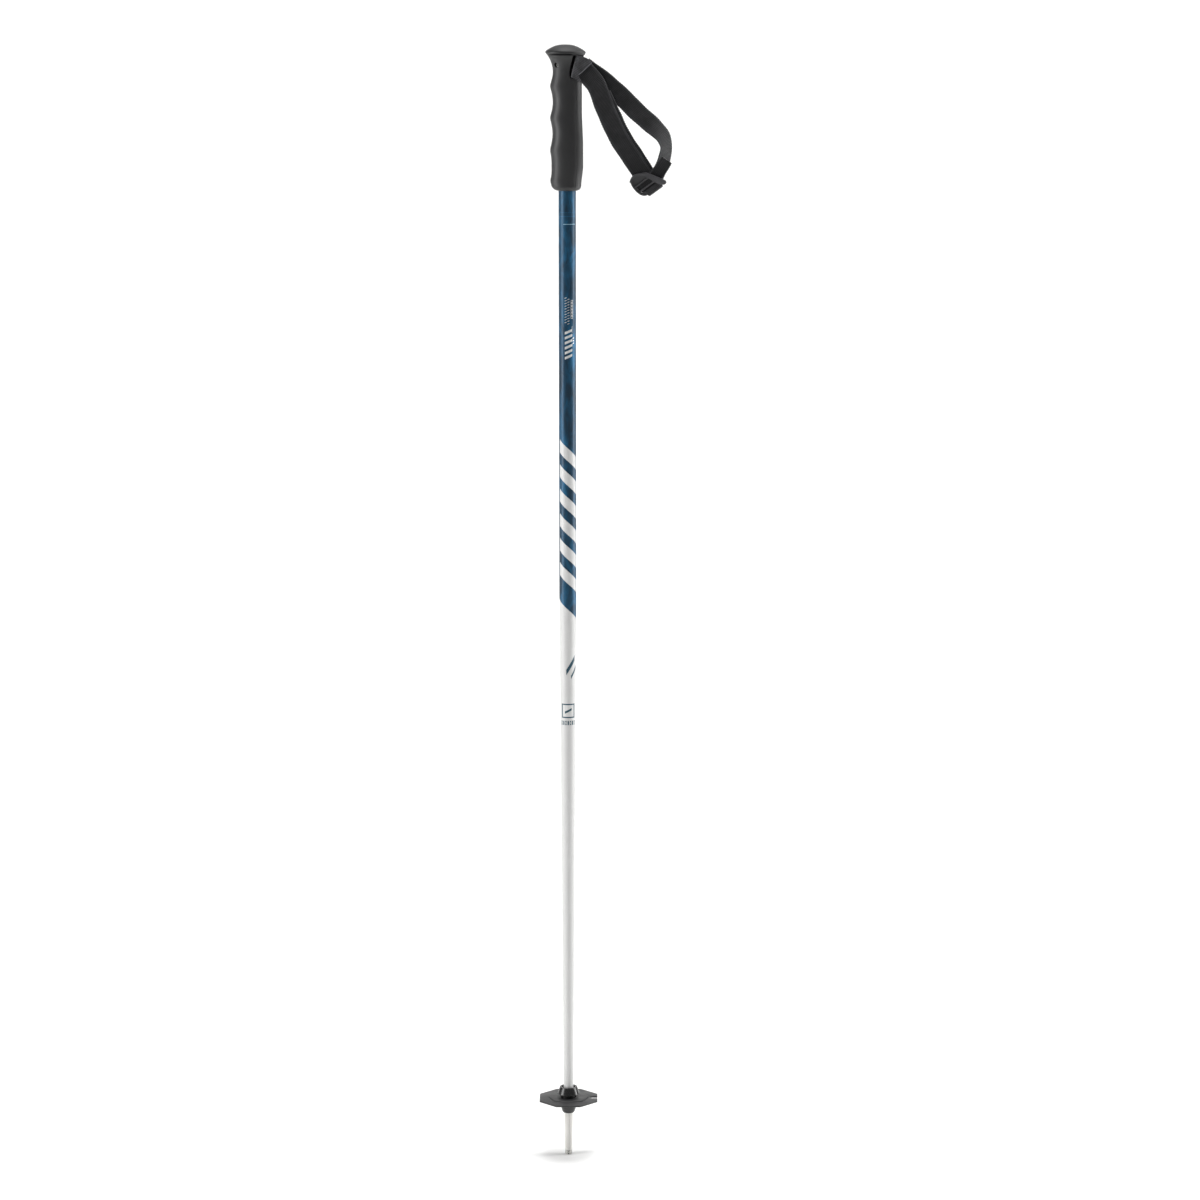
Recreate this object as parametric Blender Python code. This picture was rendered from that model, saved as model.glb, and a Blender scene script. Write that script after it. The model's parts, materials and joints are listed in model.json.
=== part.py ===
"""Alpine ski pole: moulded grip with wrist strap, tapered tube, basket and steel tip.

Metres, +Z up along the pole. The origin is the centre of the tip's end face, the
strap hangs on the +X side of the grip and the finger grooves face -X.
"""

from math import cos, pi, sin

import bmesh
import bpy
import numpy as np
from mathutils import Matrix, Vector

# Overall sizes
POLE_LENGTH = 1.050
GAP = 0.0003  # between touching pieces
RUNNING_GAP = 0.0003  # round a piece that turns

# Tube: straight from the grip down, then one long taper
TUBE_R = 0.0080
TUBE_WALL = 0.0011
TAPER_TOP_Z = 0.537
TAPER_PER_M = 0.00705  # loss of radius for each metre of length
TUBE_BOTTOM_Z = 0.0500
TUBE_TOP_DROP = 0.0400  # the tube stops this far below the top of the grip

# Grip
GRIP_LENGTH = 0.1322
GRIP_FRONT = 0.0146  # mean reach of the finger side
GRIP_REAR = 0.0136
GRIP_HALF_WIDTH = 0.0126
FINGER_RIDGES = 3.4  # from the first ridge up to the neck
FINGER_DEPTH = 0.0012  # half the height from groove to ridge
FIRST_RIDGE = 0.0090  # above the bottom of the grip
NECK_DROP = 0.0260  # the last groove, below the top of the grip
FLARE_FRONT = 0.0048
FLARE_REAR = 0.0022
FLARE_SIDE = 0.0036
PALM_SWELL_REAR = 0.0008
PALM_SWELL_SIDE = 0.0006
FOOT_ROUND = 0.0045
FOOT_LIP = 0.0012  # the foot's rim stands this far off the tube
GRIP_SQUARENESS = 2.3

# Cap on the head of the grip
CAP_DROP = 0.0096  # underside below the top
RIM_DROP = 0.0072  # widest line below the top
RIM_FRONT = 0.0199
RIM_REAR = 0.0168
RIM_SIDE = 0.0168
DOME_FULLNESS = 1.65
DOME_FLAT = 0.02  # keeps a small flat on the very top
DOME_SHIFT = 0.0015  # the dome's crown leans this far to the front
CAP_BOSS_R = 0.0042
CAP_BOSS_X = -0.0065
CAP_BOSS_DEPTH = 0.0050

# Strap notch in the head, open to the rear and to one flank
NOTCH_X = 0.0008
NOTCH_FAR_Y = 0.0045
NOTCH_FLOOR_DROP = 0.0315
NOTCH_REACH = 0.0300  # the cutter runs this far past the flank and the rear

# Screw that pins the strap in the notch
SCREW_DROP = 0.0184
SCREW_ANGLE = 0.745  # radians from +X towards +Y
SCREW_START_X = -0.0098
SCREW_INSET = 0.0025  # the screw starts this far inside the grip's half width
SCREW_BITE = 0.0020  # its point is this deep in the notch's far wall
SCREW_HEAD_R = 0.0020
SCREW_SHANK_R = 0.00125
SCREW_RECESS = 0.0016
SCREW_HEAD_H = 0.0018

# Strap: flat webbing in layers, the nearest first along -Y
WEB_THICK = 0.0015
LAYER_GAP = 0.0003
STRAP_INSET = 0.0060  # the last layer's far face is this far inside the grip's half width
FOLD_MIDDLE = Vector((0.01735, 0.0, -0.02155))  # from the top of the grip
FOLD_TURN = 0.7450  # radians, from +X towards +Z, along the fold
STITCH_LENGTH = 0.0165
STITCH_WIDTH = 0.0009
STITCH_HEIGHT = 0.0005
ANCHOR_THICK = 0.0030
ANCHOR_LENGTH = 0.0115
ANCHOR_EDGE = 0.0010  # left free above and below the webbing end

# Outlines of the strap: distance from the tube's axis, drop below the top, half width
ROOT_FOLD = (
    (0.0082, 0.0100),
    (0.0145, 0.0105),
    (0.0204, 0.0133),
    (0.0235, 0.0153),
    (0.0069, 0.0306),
    (0.0035, 0.0289),
)
FRONT_LIMB = (
    (0.0162, 0.0236, 0.0106),
    (0.0218, 0.0302, 0.0096),
    (0.0274, 0.0381, 0.0088),
    (0.0351, 0.0585, 0.0088),
    (0.0465, 0.0831, 0.0088),
    (0.0625, 0.1076, 0.0087),
    (0.0662, 0.1128, 0.0086),
)
INNER_LAYER = (
    (0.0352, 0.0470, 0.0088),
    (0.0376, 0.0575, 0.0088),
    (0.0490, 0.0819, 0.0088),
    (0.0620, 0.1020, 0.0088),
)
BACK_LIMB = (
    (0.0210, 0.0236, 0.0083),
    (0.0281, 0.0283, 0.0083),
    (0.0380, 0.0362, 0.0083),
    (0.0513, 0.0482, 0.0083),
    (0.0636, 0.0605, 0.0083),
    (0.0750, 0.0706, 0.0083),
)
BEND = (
    (0.0760, 0.0716, 0.0081),
    (0.0818, 0.0768, 0.0077),
    (0.0875, 0.0831, 0.0068),
    (0.0905, 0.0924, 0.0054),
    (0.0890, 0.1025, 0.0058),
    (0.0863, 0.1104, 0.0064),
    (0.0825, 0.1170, 0.0064),
)
TAIL = ((0.0815, 0.1185, 0.0056), (0.0866, 0.1105, 0.0056), (0.0912, 0.1035, 0.0056))

# Buckle: a moulded frame with two bars; its own axes run along and across the bars
BUCKLE_THICK = 0.0038
BUCKLE_CLEAR = 0.0005  # in front of the strap
BUCKLE_CENTRE = Vector((0.0733, 0.0, -0.1237))  # from the top of the grip
BUCKLE_TURN = 0.6283  # radians, from +X towards +Z, along the bars
BUCKLE_HINGE = 0.0100  # from the centre back to the bar that the strap hangs it by
BUCKLE_OUTLINE = (
    (-0.0123, -0.0106),
    (-0.0095, -0.0120),
    (-0.0070, -0.0125),
    (-0.0013, -0.0104),
    (0.0037, -0.0084),
    (0.0136, 0.0076),
    (0.0142, 0.0094),
    (0.0132, 0.0108),
    (0.0110, 0.0112),
    (-0.0068, 0.0109),
    (-0.0099, 0.0092),
    (-0.0125, 0.0053),
    (-0.0139, 0.0000),
    (-0.0139, -0.0060),
)
BUCKLE_WINDOWS = (  # low and high along the bars, low and high across them
    (-0.0112, 0.0016, -0.0086, -0.0036),
    (-0.0114, 0.0052, -0.0014, 0.0020),
    (-0.0096, 0.0086, 0.0042, 0.0084),
)

# Basket
DISC_ACROSS_FLATS = 0.0550
DISC_Z = 0.0555
DISC_THICK = 0.0016
DISC_STEP = 0.0009  # height of the raised inner octagon
DISC_STEP_SHARE = 0.698  # its corners, against half the width across flats
SLOT_WIDTH = 0.0057
SLOT_SHARE = 0.273  # the slot's depth, against half the width across flats
HUB_TOP_Z = 0.0672
HUB_BOTTOM_Z = 0.0418
COLLAR_BASE_Z = 0.0603
COLLAR_MOUTH_WALL = 0.0013  # these four are reaches past the ferrule's seat
DISC_BORE_WALL = 0.0025
COLLAR_TOP_WALL = 0.0036
COLLAR_BASE_WALL = 0.0058
COLLAR_EDGE = 0.0004
HUB_FLANGE = 0.0006  # holds the disc from below
HUB_FLANGE_THICK = 0.0030
HUB_LIP = 0.0006

# Ferrule and tip
FERRULE_TIP_R = 0.0036
SEAT_PROUD = 0.0001  # the basket's seat is this much wider than the tube's end
SEAT_STEP = 0.0004  # and the neck below it this much slimmer than the seat
SEAT_RISE = 0.0032  # above the hub's bottom
SEAT_SLOPE = 0.0008
FERRULE_BOTTOM_Z = 0.0047
SPIGOT_LENGTH = 0.0250
SPIGOT_EDGE = 0.0005
CROWN_R = 0.00325
CROWN_STEM = 0.0120
CROWN_STEM_R = 0.0023
CROWN_BOTTOM_Z = 0.0006
CROWN_EDGE = 0.0005
TOOTH_GAP = 0.0011
TOOTH_DEPTH = 0.0012
STUB_R = 0.0011
STUB_LENGTH = 0.0140
CROWN_TEETH = 6

# Plug in the top of the tube
PLUG_FLANGE = 0.0018
PLUG_DEPTH = 0.0120

ROUND = 48

# What follows from the sizes above
TOP = POLE_LENGTH
GRIP_BOTTOM = TOP - GRIP_LENGTH
FINGER_PITCH = (GRIP_LENGTH - NECK_DROP - FIRST_RIDGE) / FINGER_RIDGES
CAP_BOTTOM = TOP - CAP_DROP
BODY_TOP = CAP_BOTTOM - GAP
TUBE_TOP = TOP - TUBE_TOP_DROP
TUBE_END_R = TUBE_R - TAPER_PER_M * (TAPER_TOP_Z - TUBE_BOTTOM_Z)
SCREW_START_Y = SCREW_INSET - GRIP_HALF_WIDTH
SCREW_LENGTH = (NOTCH_FAR_Y + SCREW_BITE - SCREW_START_Y) / sin(SCREW_ANGLE)
ROOT_NEAR_Y = STRAP_INSET - GRIP_HALF_WIDTH - 4 * (WEB_THICK + LAYER_GAP)
FOLD_AXIS_Y = ROOT_NEAR_Y + WEB_THICK + LAYER_GAP
FIRST_LAYER_Y = FOLD_AXIS_Y + LAYER_GAP
BUCKLE_NEAR_Y = FIRST_LAYER_Y - BUCKLE_CLEAR - BUCKLE_THICK
FERRULE_SEAT_R = TUBE_END_R + SEAT_PROUD
FERRULE_NECK_R = FERRULE_SEAT_R - SEAT_STEP
COLLAR_MOUTH_R = FERRULE_SEAT_R + COLLAR_MOUTH_WALL
COLLAR_TOP_R = FERRULE_SEAT_R + COLLAR_TOP_WALL
COLLAR_BASE_R = FERRULE_SEAT_R + COLLAR_BASE_WALL
DISC_BORE_R = FERRULE_SEAT_R + DISC_BORE_WALL
HUB_FLANGE_R = DISC_BORE_R + HUB_FLANGE
DISC_FLAT = DISC_ACROSS_FLATS / 2


def clear_scene():
    for old in list(bpy.data.objects):
        bpy.data.objects.remove(old, do_unlink=True)


def finish(name, colour, roughness, metallic=0.0):
    """One plain material for one sub-part, colour as linear RGB."""
    made = bpy.data.materials.new(name)
    made.use_nodes = True
    shader = made.node_tree.nodes["Principled BSDF"]
    shader.inputs["Base Color"].default_value = (*colour, 1.0)
    shader.inputs["Roughness"].default_value = roughness
    shader.inputs["Metallic"].default_value = metallic
    return made


def add_object(name, bm, material=None, parent=None, smooth_angle=0.6):
    """Makes an object of a bmesh; with a parent, the mesh is moved into its space."""
    bmesh.ops.recalc_face_normals(bm, faces=bm.faces)
    mesh = bpy.data.meshes.new(name)
    if parent:
        bmesh.ops.transform(bm, matrix=parent.matrix_world.inverted(), verts=bm.verts)
    bm.to_mesh(mesh)
    bm.free()
    mesh.shade_smooth()
    mesh.set_sharp_from_angle(angle=smooth_angle)
    made = bpy.data.objects.new(name, mesh)
    bpy.context.scene.collection.objects.link(made)
    if material:
        mesh.materials.append(material)
    if parent:
        made.parent = parent
    return made


def add_axis(name, place, parent=None):
    """An empty on a joint's axis; the pieces of the moving body are its children."""
    empty = bpy.data.objects.new(name, None)
    empty.empty_display_size = 0.02
    bpy.context.scene.collection.objects.link(empty)
    if parent:
        empty.parent = parent
        place = parent.matrix_world.inverted() @ Vector(place)
    empty.location = place
    bpy.context.view_layer.update()
    return empty


def combine(target, helper, name, operation):
    helper.hide_render = True
    helper.display_type = "WIRE"
    step = target.modifiers.new(name, "BOOLEAN")
    step.operation = operation
    step.solver = "EXACT"
    step.object = helper


def cut(target, cutter, name):
    combine(target, cutter, name, "DIFFERENCE")


def join(target, helper, name):
    combine(target, helper, name, "UNION")


def cylinder(radius, start, end, steps=24):
    """A closed cylinder between two points."""
    start, end = Vector(start), Vector(end)
    along = end - start
    bm = bmesh.new()
    bmesh.ops.create_cone(
        bm, cap_ends=True, segments=steps, radius1=radius, radius2=radius, depth=along.length
    )
    turn = along.to_track_quat("Z", "Y").to_matrix().to_4x4()
    place = Matrix.Translation((start + end) / 2) @ turn
    bmesh.ops.transform(bm, matrix=place, verts=bm.verts)
    return bm


def block(low, high):
    low, high = Vector(low), Vector(high)
    bm = bmesh.new()
    bmesh.ops.create_cube(bm, size=1.0)
    size = Matrix.Diagonal((high - low).to_4d())
    size[3][3] = 1.0
    bmesh.ops.transform(bm, matrix=Matrix.Translation((low + high) / 2) @ size, verts=bm.verts)
    return bm


def turned(profile, steps=ROUND):
    """A closed solid of revolution about Z from a closed profile of (radius, height)."""
    bm = bmesh.new()
    rings = []
    for radius, height in profile:
        if radius == 0.0:
            rings.append([bm.verts.new((0.0, 0.0, height))])
            continue
        angles = [2 * pi * i / steps for i in range(steps)]
        rings.append([bm.verts.new((radius * cos(a), radius * sin(a), height)) for a in angles])
    for ring, after in zip(rings, rings[1:] + rings[:1]):
        if len(ring) == 1 and len(after) == 1:
            continue
        for i in range(steps):
            j = (i + 1) % steps
            corners = [ring[i % len(ring)], ring[j % len(ring)]]
            corners += [after[j % len(after)], after[i % len(after)]]
            unique = list(dict.fromkeys(corners))
            if len(unique) > 2:
                bm.faces.new(unique)
    return bm


def lofted(rings):
    """A closed solid through rings of points, with flat ends."""
    bm = bmesh.new()
    loops = [[bm.verts.new(point) for point in ring] for ring in rings]
    count = len(loops[0])
    for low, high in zip(loops, loops[1:]):
        for i in range(count):
            j = (i + 1) % count
            bm.faces.new((low[i], low[j], high[j], high[i]))
    bm.faces.new(loops[0][::-1])
    bm.faces.new(loops[-1])
    return bm


def oval(front, rear, side, height, squareness=GRIP_SQUARENESS, steps=40):
    """A rounded section: its own reach forwards, backwards and to the sides."""
    ring = []
    for i in range(steps):
        angle = 2 * pi * i / steps
        c, s = cos(angle), sin(angle)
        x = abs(c) ** (2 / squareness) * (rear if c > 0 else -front)
        y = abs(s) ** (2 / squareness) * side * (1 if s > 0 else -1)
        ring.append((x, y, height))
    return ring


def prism(outline, near_y, far_y):
    """A flat closed plate from an outline of (x, z)."""
    bm = bmesh.new()
    near = [bm.verts.new((x, near_y, z)) for x, z in outline]
    far = [bm.verts.new((x, far_y, z)) for x, z in outline]
    bm.faces.new(near)
    bm.faces.new(far[::-1])
    for i in range(len(outline)):
        j = (i + 1) % len(outline)
        bm.faces.new((near[i], far[i], far[j], near[j]))
    return bm


def smooth_line(points, steps=5):
    """A smooth curve through points of any length (Catmull-Rom)."""
    known = [np.array(p, float) for p in points]
    known = [2 * known[0] - known[1], *known, 2 * known[-1] - known[-2]]
    line = []
    for before, start, end, after in zip(known, known[1:], known[2:], known[3:]):
        for t in np.arange(steps) / steps:
            line.append(
                0.5
                * (
                    2 * start
                    + (end - before) * t
                    + (2 * before - 5 * start + 4 * end - after) * t**2
                    + (3 * start - before - 3 * end + after) * t**3
                )
            )
    line.append(known[-2])
    return line


def webbing(stations, near_y):
    """A ribbon lying across Y: stations are (x, depth below the top, half width)."""
    line = smooth_line(stations)
    near, far = [], []
    bm = bmesh.new()
    for i, (x, drop, half) in enumerate(line):
        before, after = line[max(i - 1, 0)], line[min(i + 1, len(line) - 1)]
        along = Vector((after[0] - before[0], before[1] - after[1])).normalized()
        side = Vector((along.y, -along.x)) * half
        for edge, y in ((near, near_y), (far, near_y + WEB_THICK)):
            for way in (1, -1):
                edge.append(bm.verts.new((x + way * side.x, y, TOP - drop + way * side.y)))
    for i in range(0, len(near) - 2, 2):
        bm.faces.new((near[i], near[i + 1], near[i + 3], near[i + 2]))
        bm.faces.new((far[i], far[i + 2], far[i + 3], far[i + 1]))
        bm.faces.new((near[i], near[i + 2], far[i + 2], far[i]))
        bm.faces.new((near[i + 1], far[i + 1], far[i + 3], near[i + 3]))
    bm.faces.new((near[0], far[0], far[1], near[1]))
    bm.faces.new((near[-2], near[-1], far[-1], far[-2]))
    return bm


def tube_radius(z):
    return TUBE_R - TAPER_PER_M * max(0.0, TAPER_TOP_Z - z)


def grip_section(z):
    """The grip's section at a height: finger ridges, neck, flare and rounded foot."""
    ripple = FINGER_DEPTH * cos(2 * pi * (z - GRIP_BOTTOM - FIRST_RIDGE) / FINGER_PITCH)
    neck = TOP - NECK_DROP
    front, rear, side = GRIP_FRONT + ripple, GRIP_REAR, GRIP_HALF_WIDTH
    palm = (z - GRIP_BOTTOM) / (neck - GRIP_BOTTOM)
    if z > neck:
        rise = (z - neck) / (CAP_BOTTOM - neck)
        front = GRIP_FRONT + FINGER_DEPTH * cos(2 * pi * FINGER_RIDGES) + FLARE_FRONT * rise**2.8
        rear += FLARE_REAR * rise**4
        side += FLARE_SIDE * rise**2.8
    else:
        swell = sin(pi * palm) ** 2
        rear += PALM_SWELL_REAR * swell * (1.0 if palm < 0.5 else 1.6 - 1.2 * palm)
        side += PALM_SWELL_SIDE * swell
    foot = min(1.0, (z - GRIP_BOTTOM) / FOOT_ROUND)
    shrink = (1 - (1 - foot) ** 2) ** 0.5
    bottom_r = TUBE_R + FOOT_LIP
    front, rear, side = (bottom_r + (reach - bottom_r) * shrink for reach in (front, rear, side))
    return oval(front, rear, side, z)


def grip_body(material):
    foot = [GRIP_BOTTOM + FOOT_ROUND * (1 - cos(pi / 2 * i / 5)) for i in range(5)]
    rest = list(np.linspace(GRIP_BOTTOM + FOOT_ROUND, BODY_TOP, 46))
    body = add_object("grip_body", lofted([grip_section(z) for z in foot + rest]), material)
    end = (0, 0, TUBE_TOP + PLUG_FLANGE + 2 * GAP)
    bore = cylinder(TUBE_R + GAP, (0, 0, GRIP_BOTTOM - TUBE_R), end, ROUND)
    cut(body, add_object("bore_cutter", bore), "bore")
    low = (NOTCH_X, -NOTCH_REACH, TOP - NOTCH_FLOOR_DROP)
    notch = block(low, (NOTCH_REACH, NOTCH_FAR_Y, TOP))
    cut(body, add_object("notch_cutter", notch), "notch")
    boss = cylinder(
        CAP_BOSS_R + GAP,
        (CAP_BOSS_X, 0, CAP_BOTTOM - CAP_BOSS_DEPTH - GAP),
        (CAP_BOSS_X, 0, TOP),
    )
    cut(body, add_object("boss_cutter", boss), "boss")
    start, along = screw_line()
    shank = cylinder(SCREW_SHANK_R + GAP, start, start + along * (SCREW_LENGTH + GAP), 16)
    cut(body, add_object("shank_cutter", shank), "shank")
    mouth = start + along * (SCREW_RECESS + SCREW_HEAD_H + GAP)
    head = cylinder(SCREW_HEAD_R + GAP, start - along * 3 * SCREW_HEAD_R, mouth)
    cut(body, add_object("screw_mouth_cutter", head), "screw_mouth")
    return body


def screw_line():
    start = Vector((SCREW_START_X, SCREW_START_Y, TOP - SCREW_DROP))
    return start, Vector((cos(SCREW_ANGLE), sin(SCREW_ANGLE), 0))


def dome_share(rise):
    """How wide the dome is at a share of its height, against its rim."""
    return max(DOME_FLAT, 1 - rise**DOME_FULLNESS) ** (1 / DOME_FULLNESS)


def cap_ring(share, rise, height):
    ring = oval(RIM_FRONT * share, RIM_REAR * share, RIM_SIDE * share, height)
    return [(x - DOME_SHIFT * rise, y, z) for x, y, z in ring]


def grip_cap(material):
    """Low dome with a thin rim; a boss on its underside plugs into the body."""
    rim = TOP - RIM_DROP
    rings = []
    for share, climb in ((0.90, 0.0), (0.945, 0.35), (0.98, 0.7), (1.0, 1.0)):
        rings.append(cap_ring(share, 0.0, CAP_BOTTOM + (rim - CAP_BOTTOM) * climb))
    for i in range(1, 10):
        rise = sin(pi / 2 * i / 9)
        rings.append(cap_ring(dome_share(rise), rise, rim + RIM_DROP * rise))
    cap = add_object("grip_cap", lofted(rings), material)
    foot = (CAP_BOSS_X, 0, CAP_BOTTOM - CAP_BOSS_DEPTH)
    boss = cylinder(CAP_BOSS_R, foot, (CAP_BOSS_X, 0, rim))
    join(cap, add_object("cap_boss_helper", boss), "boss")
    return cap


def strap_screw(material):
    """Countersunk in the front flank; its point bites the far wall of the notch."""
    start, along = screw_line()
    neck = SCREW_RECESS + SCREW_HEAD_H
    profile = [
        (0.0, SCREW_RECESS),
        (SCREW_HEAD_R, SCREW_RECESS),
        (SCREW_HEAD_R, neck - SCREW_HEAD_H / 3),
        (SCREW_SHANK_R, neck),
        (SCREW_SHANK_R, SCREW_LENGTH - 2 * SCREW_SHANK_R),
        (0.0, SCREW_LENGTH - GAP),
    ]
    bm = turned(profile, 24)
    turn = along.to_track_quat("Z", "Y").to_matrix().to_4x4()
    bmesh.ops.transform(bm, matrix=Matrix.Translation(start) @ turn, verts=bm.verts)
    screw = add_object("strap_screw", bm, material)
    recess = SCREW_HEAD_R * 0.5
    socket = cylinder(recess, start, start + along * (SCREW_RECESS + SCREW_HEAD_H * 0.5), 6)
    cut(screw, add_object("socket_cutter", socket), "socket")
    return screw


def shaft_tube(material):
    heights = [TUBE_BOTTOM_Z, *np.linspace(TAPER_TOP_Z * 0.25, TAPER_TOP_Z, 4)]
    heights += [GRIP_BOTTOM, TUBE_TOP]
    outside = [(tube_radius(z), z) for z in heights]
    inside = [(tube_radius(z) - TUBE_WALL, z) for z in reversed(heights)]
    return add_object("shaft_tube", turned(outside + inside), material)


def shaft_top_plug(material):
    spigot = TUBE_R - TUBE_WALL - GAP
    profile = [
        (0.0, TUBE_TOP - PLUG_DEPTH),
        (spigot - GAP, TUBE_TOP - PLUG_DEPTH),
        (spigot, TUBE_TOP - PLUG_DEPTH + 3 * GAP),
        (spigot, TUBE_TOP + GAP),
        (TUBE_R, TUBE_TOP + GAP),
        (TUBE_R, TUBE_TOP + PLUG_FLANGE),
        (0.0, TUBE_TOP + PLUG_FLANGE),
    ]
    return add_object("shaft_top_plug", turned(profile), material)


def tip_ferrule(material):
    """Plastic point: a spigot in the tube, a seat in the basket and a slim cone."""
    bottom_bore = tube_radius(TUBE_BOTTOM_Z) - TUBE_WALL - GAP
    seat_top = TUBE_BOTTOM_Z - GAP
    seat_low = HUB_BOTTOM_Z + SEAT_RISE
    socket_r = CROWN_STEM_R + GAP
    socket_top = CROWN_STEM + FERRULE_BOTTOM_Z + GAP
    profile = [
        (0.0, socket_top),
        (socket_r, socket_top),
        (socket_r, FERRULE_BOTTOM_Z),
        (FERRULE_TIP_R - GAP, FERRULE_BOTTOM_Z),
        (FERRULE_TIP_R, FERRULE_BOTTOM_Z + GAP),
        (FERRULE_NECK_R, HUB_BOTTOM_Z),
        (FERRULE_NECK_R, seat_low - SEAT_SLOPE),
        (FERRULE_SEAT_R, seat_low),
        (FERRULE_SEAT_R, seat_top),
        (bottom_bore, seat_top),
        (bottom_bore, seat_top + SPIGOT_LENGTH - 2 * SPIGOT_EDGE),
        (bottom_bore - SPIGOT_EDGE, seat_top + SPIGOT_LENGTH),
        (0.0, seat_top + SPIGOT_LENGTH),
    ]
    return add_object("tip_ferrule", turned(profile), material)


def tip_crown(material):
    """Steel ring with teeth round a hard stub; its stem is pressed in the ferrule."""
    bore, top = STUB_R + GAP, FERRULE_BOTTOM_Z - GAP
    profile = [
        (bore, CROWN_BOTTOM_Z),
        (CROWN_R - CROWN_EDGE, CROWN_BOTTOM_Z),
        (CROWN_R, CROWN_BOTTOM_Z + CROWN_EDGE),
        (CROWN_R, top),
        (CROWN_STEM_R, top),
        (CROWN_STEM_R, FERRULE_BOTTOM_Z + CROWN_STEM),
        (bore, FERRULE_BOTTOM_Z + CROWN_STEM),
    ]
    crown = add_object("tip_crown", turned(profile), material)
    for i in range(CROWN_TEETH // 2):
        high = (2 * CROWN_R, TOOTH_GAP / 2, CROWN_BOTTOM_Z + TOOTH_DEPTH)
        slot = block((-2 * CROWN_R, -TOOTH_GAP / 2, -CROWN_R), high)
        turn = Matrix.Rotation(2 * pi * (i + 0.5) / CROWN_TEETH, 4, "Z")
        bmesh.ops.transform(slot, matrix=turn, verts=slot.verts)
        cut(crown, add_object(f"tooth_cutter_{i}", slot), f"teeth_{i}")
    return crown


def basket_hub(material, axis):
    """Cone collar, a groove that holds the disc, and a rounded lower hub."""
    neck = DISC_BORE_R - GAP
    bore = FERRULE_SEAT_R + RUNNING_GAP
    low_bore = FERRULE_NECK_R + RUNNING_GAP
    seat_low = HUB_BOTTOM_Z + SEAT_RISE - SEAT_SLOPE - GAP
    groove_low = DISC_Z - DISC_THICK / 2 - GAP
    profile = [
        (COLLAR_MOUTH_R, HUB_TOP_Z),
        (COLLAR_TOP_R - COLLAR_EDGE, HUB_TOP_Z),
        (COLLAR_TOP_R, HUB_TOP_Z - COLLAR_EDGE),
        (COLLAR_BASE_R, COLLAR_BASE_Z + COLLAR_EDGE),
        (COLLAR_BASE_R - COLLAR_EDGE, COLLAR_BASE_Z),
        (neck, COLLAR_BASE_Z),
        (neck, groove_low),
        (HUB_FLANGE_R, groove_low),
    ]
    drop = groove_low - HUB_FLANGE_THICK - HUB_BOTTOM_Z
    for i in range(6):
        turn = pi / 2 * i / 5
        radius = low_bore + HUB_LIP + (HUB_FLANGE_R - low_bore - HUB_LIP) * cos(turn)
        profile.append((radius, HUB_BOTTOM_Z + drop * (1 - sin(turn))))
    profile += [
        (low_bore, HUB_BOTTOM_Z),
        (low_bore, seat_low),
        (bore, seat_low + SEAT_STEP),
        (bore, COLLAR_BASE_Z),
    ]
    return add_object("basket_hub", turned(profile), material, axis)


def plate(outline, low, high):
    """A flat closed plate from an outline of (x, y)."""
    bm = bmesh.new()
    floor = [bm.verts.new((x, y, low)) for x, y in outline]
    roof = [bm.verts.new((x, y, high)) for x, y in outline]
    bm.faces.new(floor[::-1])
    bm.faces.new(roof)
    for i in range(len(outline)):
        j = (i + 1) % len(outline)
        bm.faces.new((floor[i], floor[j], roof[j], roof[i]))
    return bm


def octagon(radius, turn):
    """The corners of a regular octagon, the first one at this angle from +X."""
    angles = [turn + pi / 4 * i for i in range(8)]
    return [(radius * cos(a), radius * sin(a)) for a in angles]


def rim_slot():
    """A slot with a round inner end, open through the rim at +X."""
    half, end = SLOT_WIDTH / 2, DISC_FLAT * (1 - SLOT_SHARE)
    outline = [(DISC_FLAT + SLOT_WIDTH, -half), (DISC_FLAT + SLOT_WIDTH, half)]
    for i in range(9):
        turn = pi / 2 + pi * i / 8
        outline.append((end + half + half * cos(turn), half * sin(turn)))
    return outline


def basket_disc(material, axis):
    """Flat octagon with a raised centre and one slot in its rim."""
    low, high = DISC_Z - DISC_THICK / 2, DISC_Z + DISC_THICK / 2
    below, above = low - DISC_THICK, high + DISC_STEP + DISC_THICK
    corners = octagon(DISC_FLAT / cos(pi / 8), pi / 8)
    disc = add_object("basket_disc", plate(corners, low, high), material, axis, 0.2)
    centre = plate(octagon(DISC_STEP_SHARE * DISC_FLAT, 0.0), DISC_Z, high + DISC_STEP)
    join(disc, add_object("disc_step_helper", centre), "step")
    hole = cylinder(DISC_BORE_R, (0, 0, below), (0, 0, above), ROUND)
    cut(disc, add_object("disc_bore_cutter", hole), "bore")
    cut(disc, add_object("rim_slot_cutter", plate(rim_slot(), below, above)), "rim_slot")
    return disc


def strap_anchor(material):
    """The sewn end of the webbing in the notch, pierced by the screw."""
    floor = TOP - NOTCH_FLOOR_DROP + ANCHOR_EDGE
    far = NOTCH_FAR_Y - GAP
    low = (NOTCH_X + 2 * GAP, far - ANCHOR_THICK, floor)
    high = (NOTCH_X + ANCHOR_LENGTH, far, CAP_BOTTOM - ANCHOR_EDGE)
    anchor = add_object("strap_anchor", block(low, high), material)
    start, along = screw_line()
    hole = cylinder(SCREW_SHANK_R + GAP, start, start + along * (SCREW_LENGTH + GAP), 16)
    cut(anchor, add_object("anchor_hole_cutter", hole), "hole")
    return anchor


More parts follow.
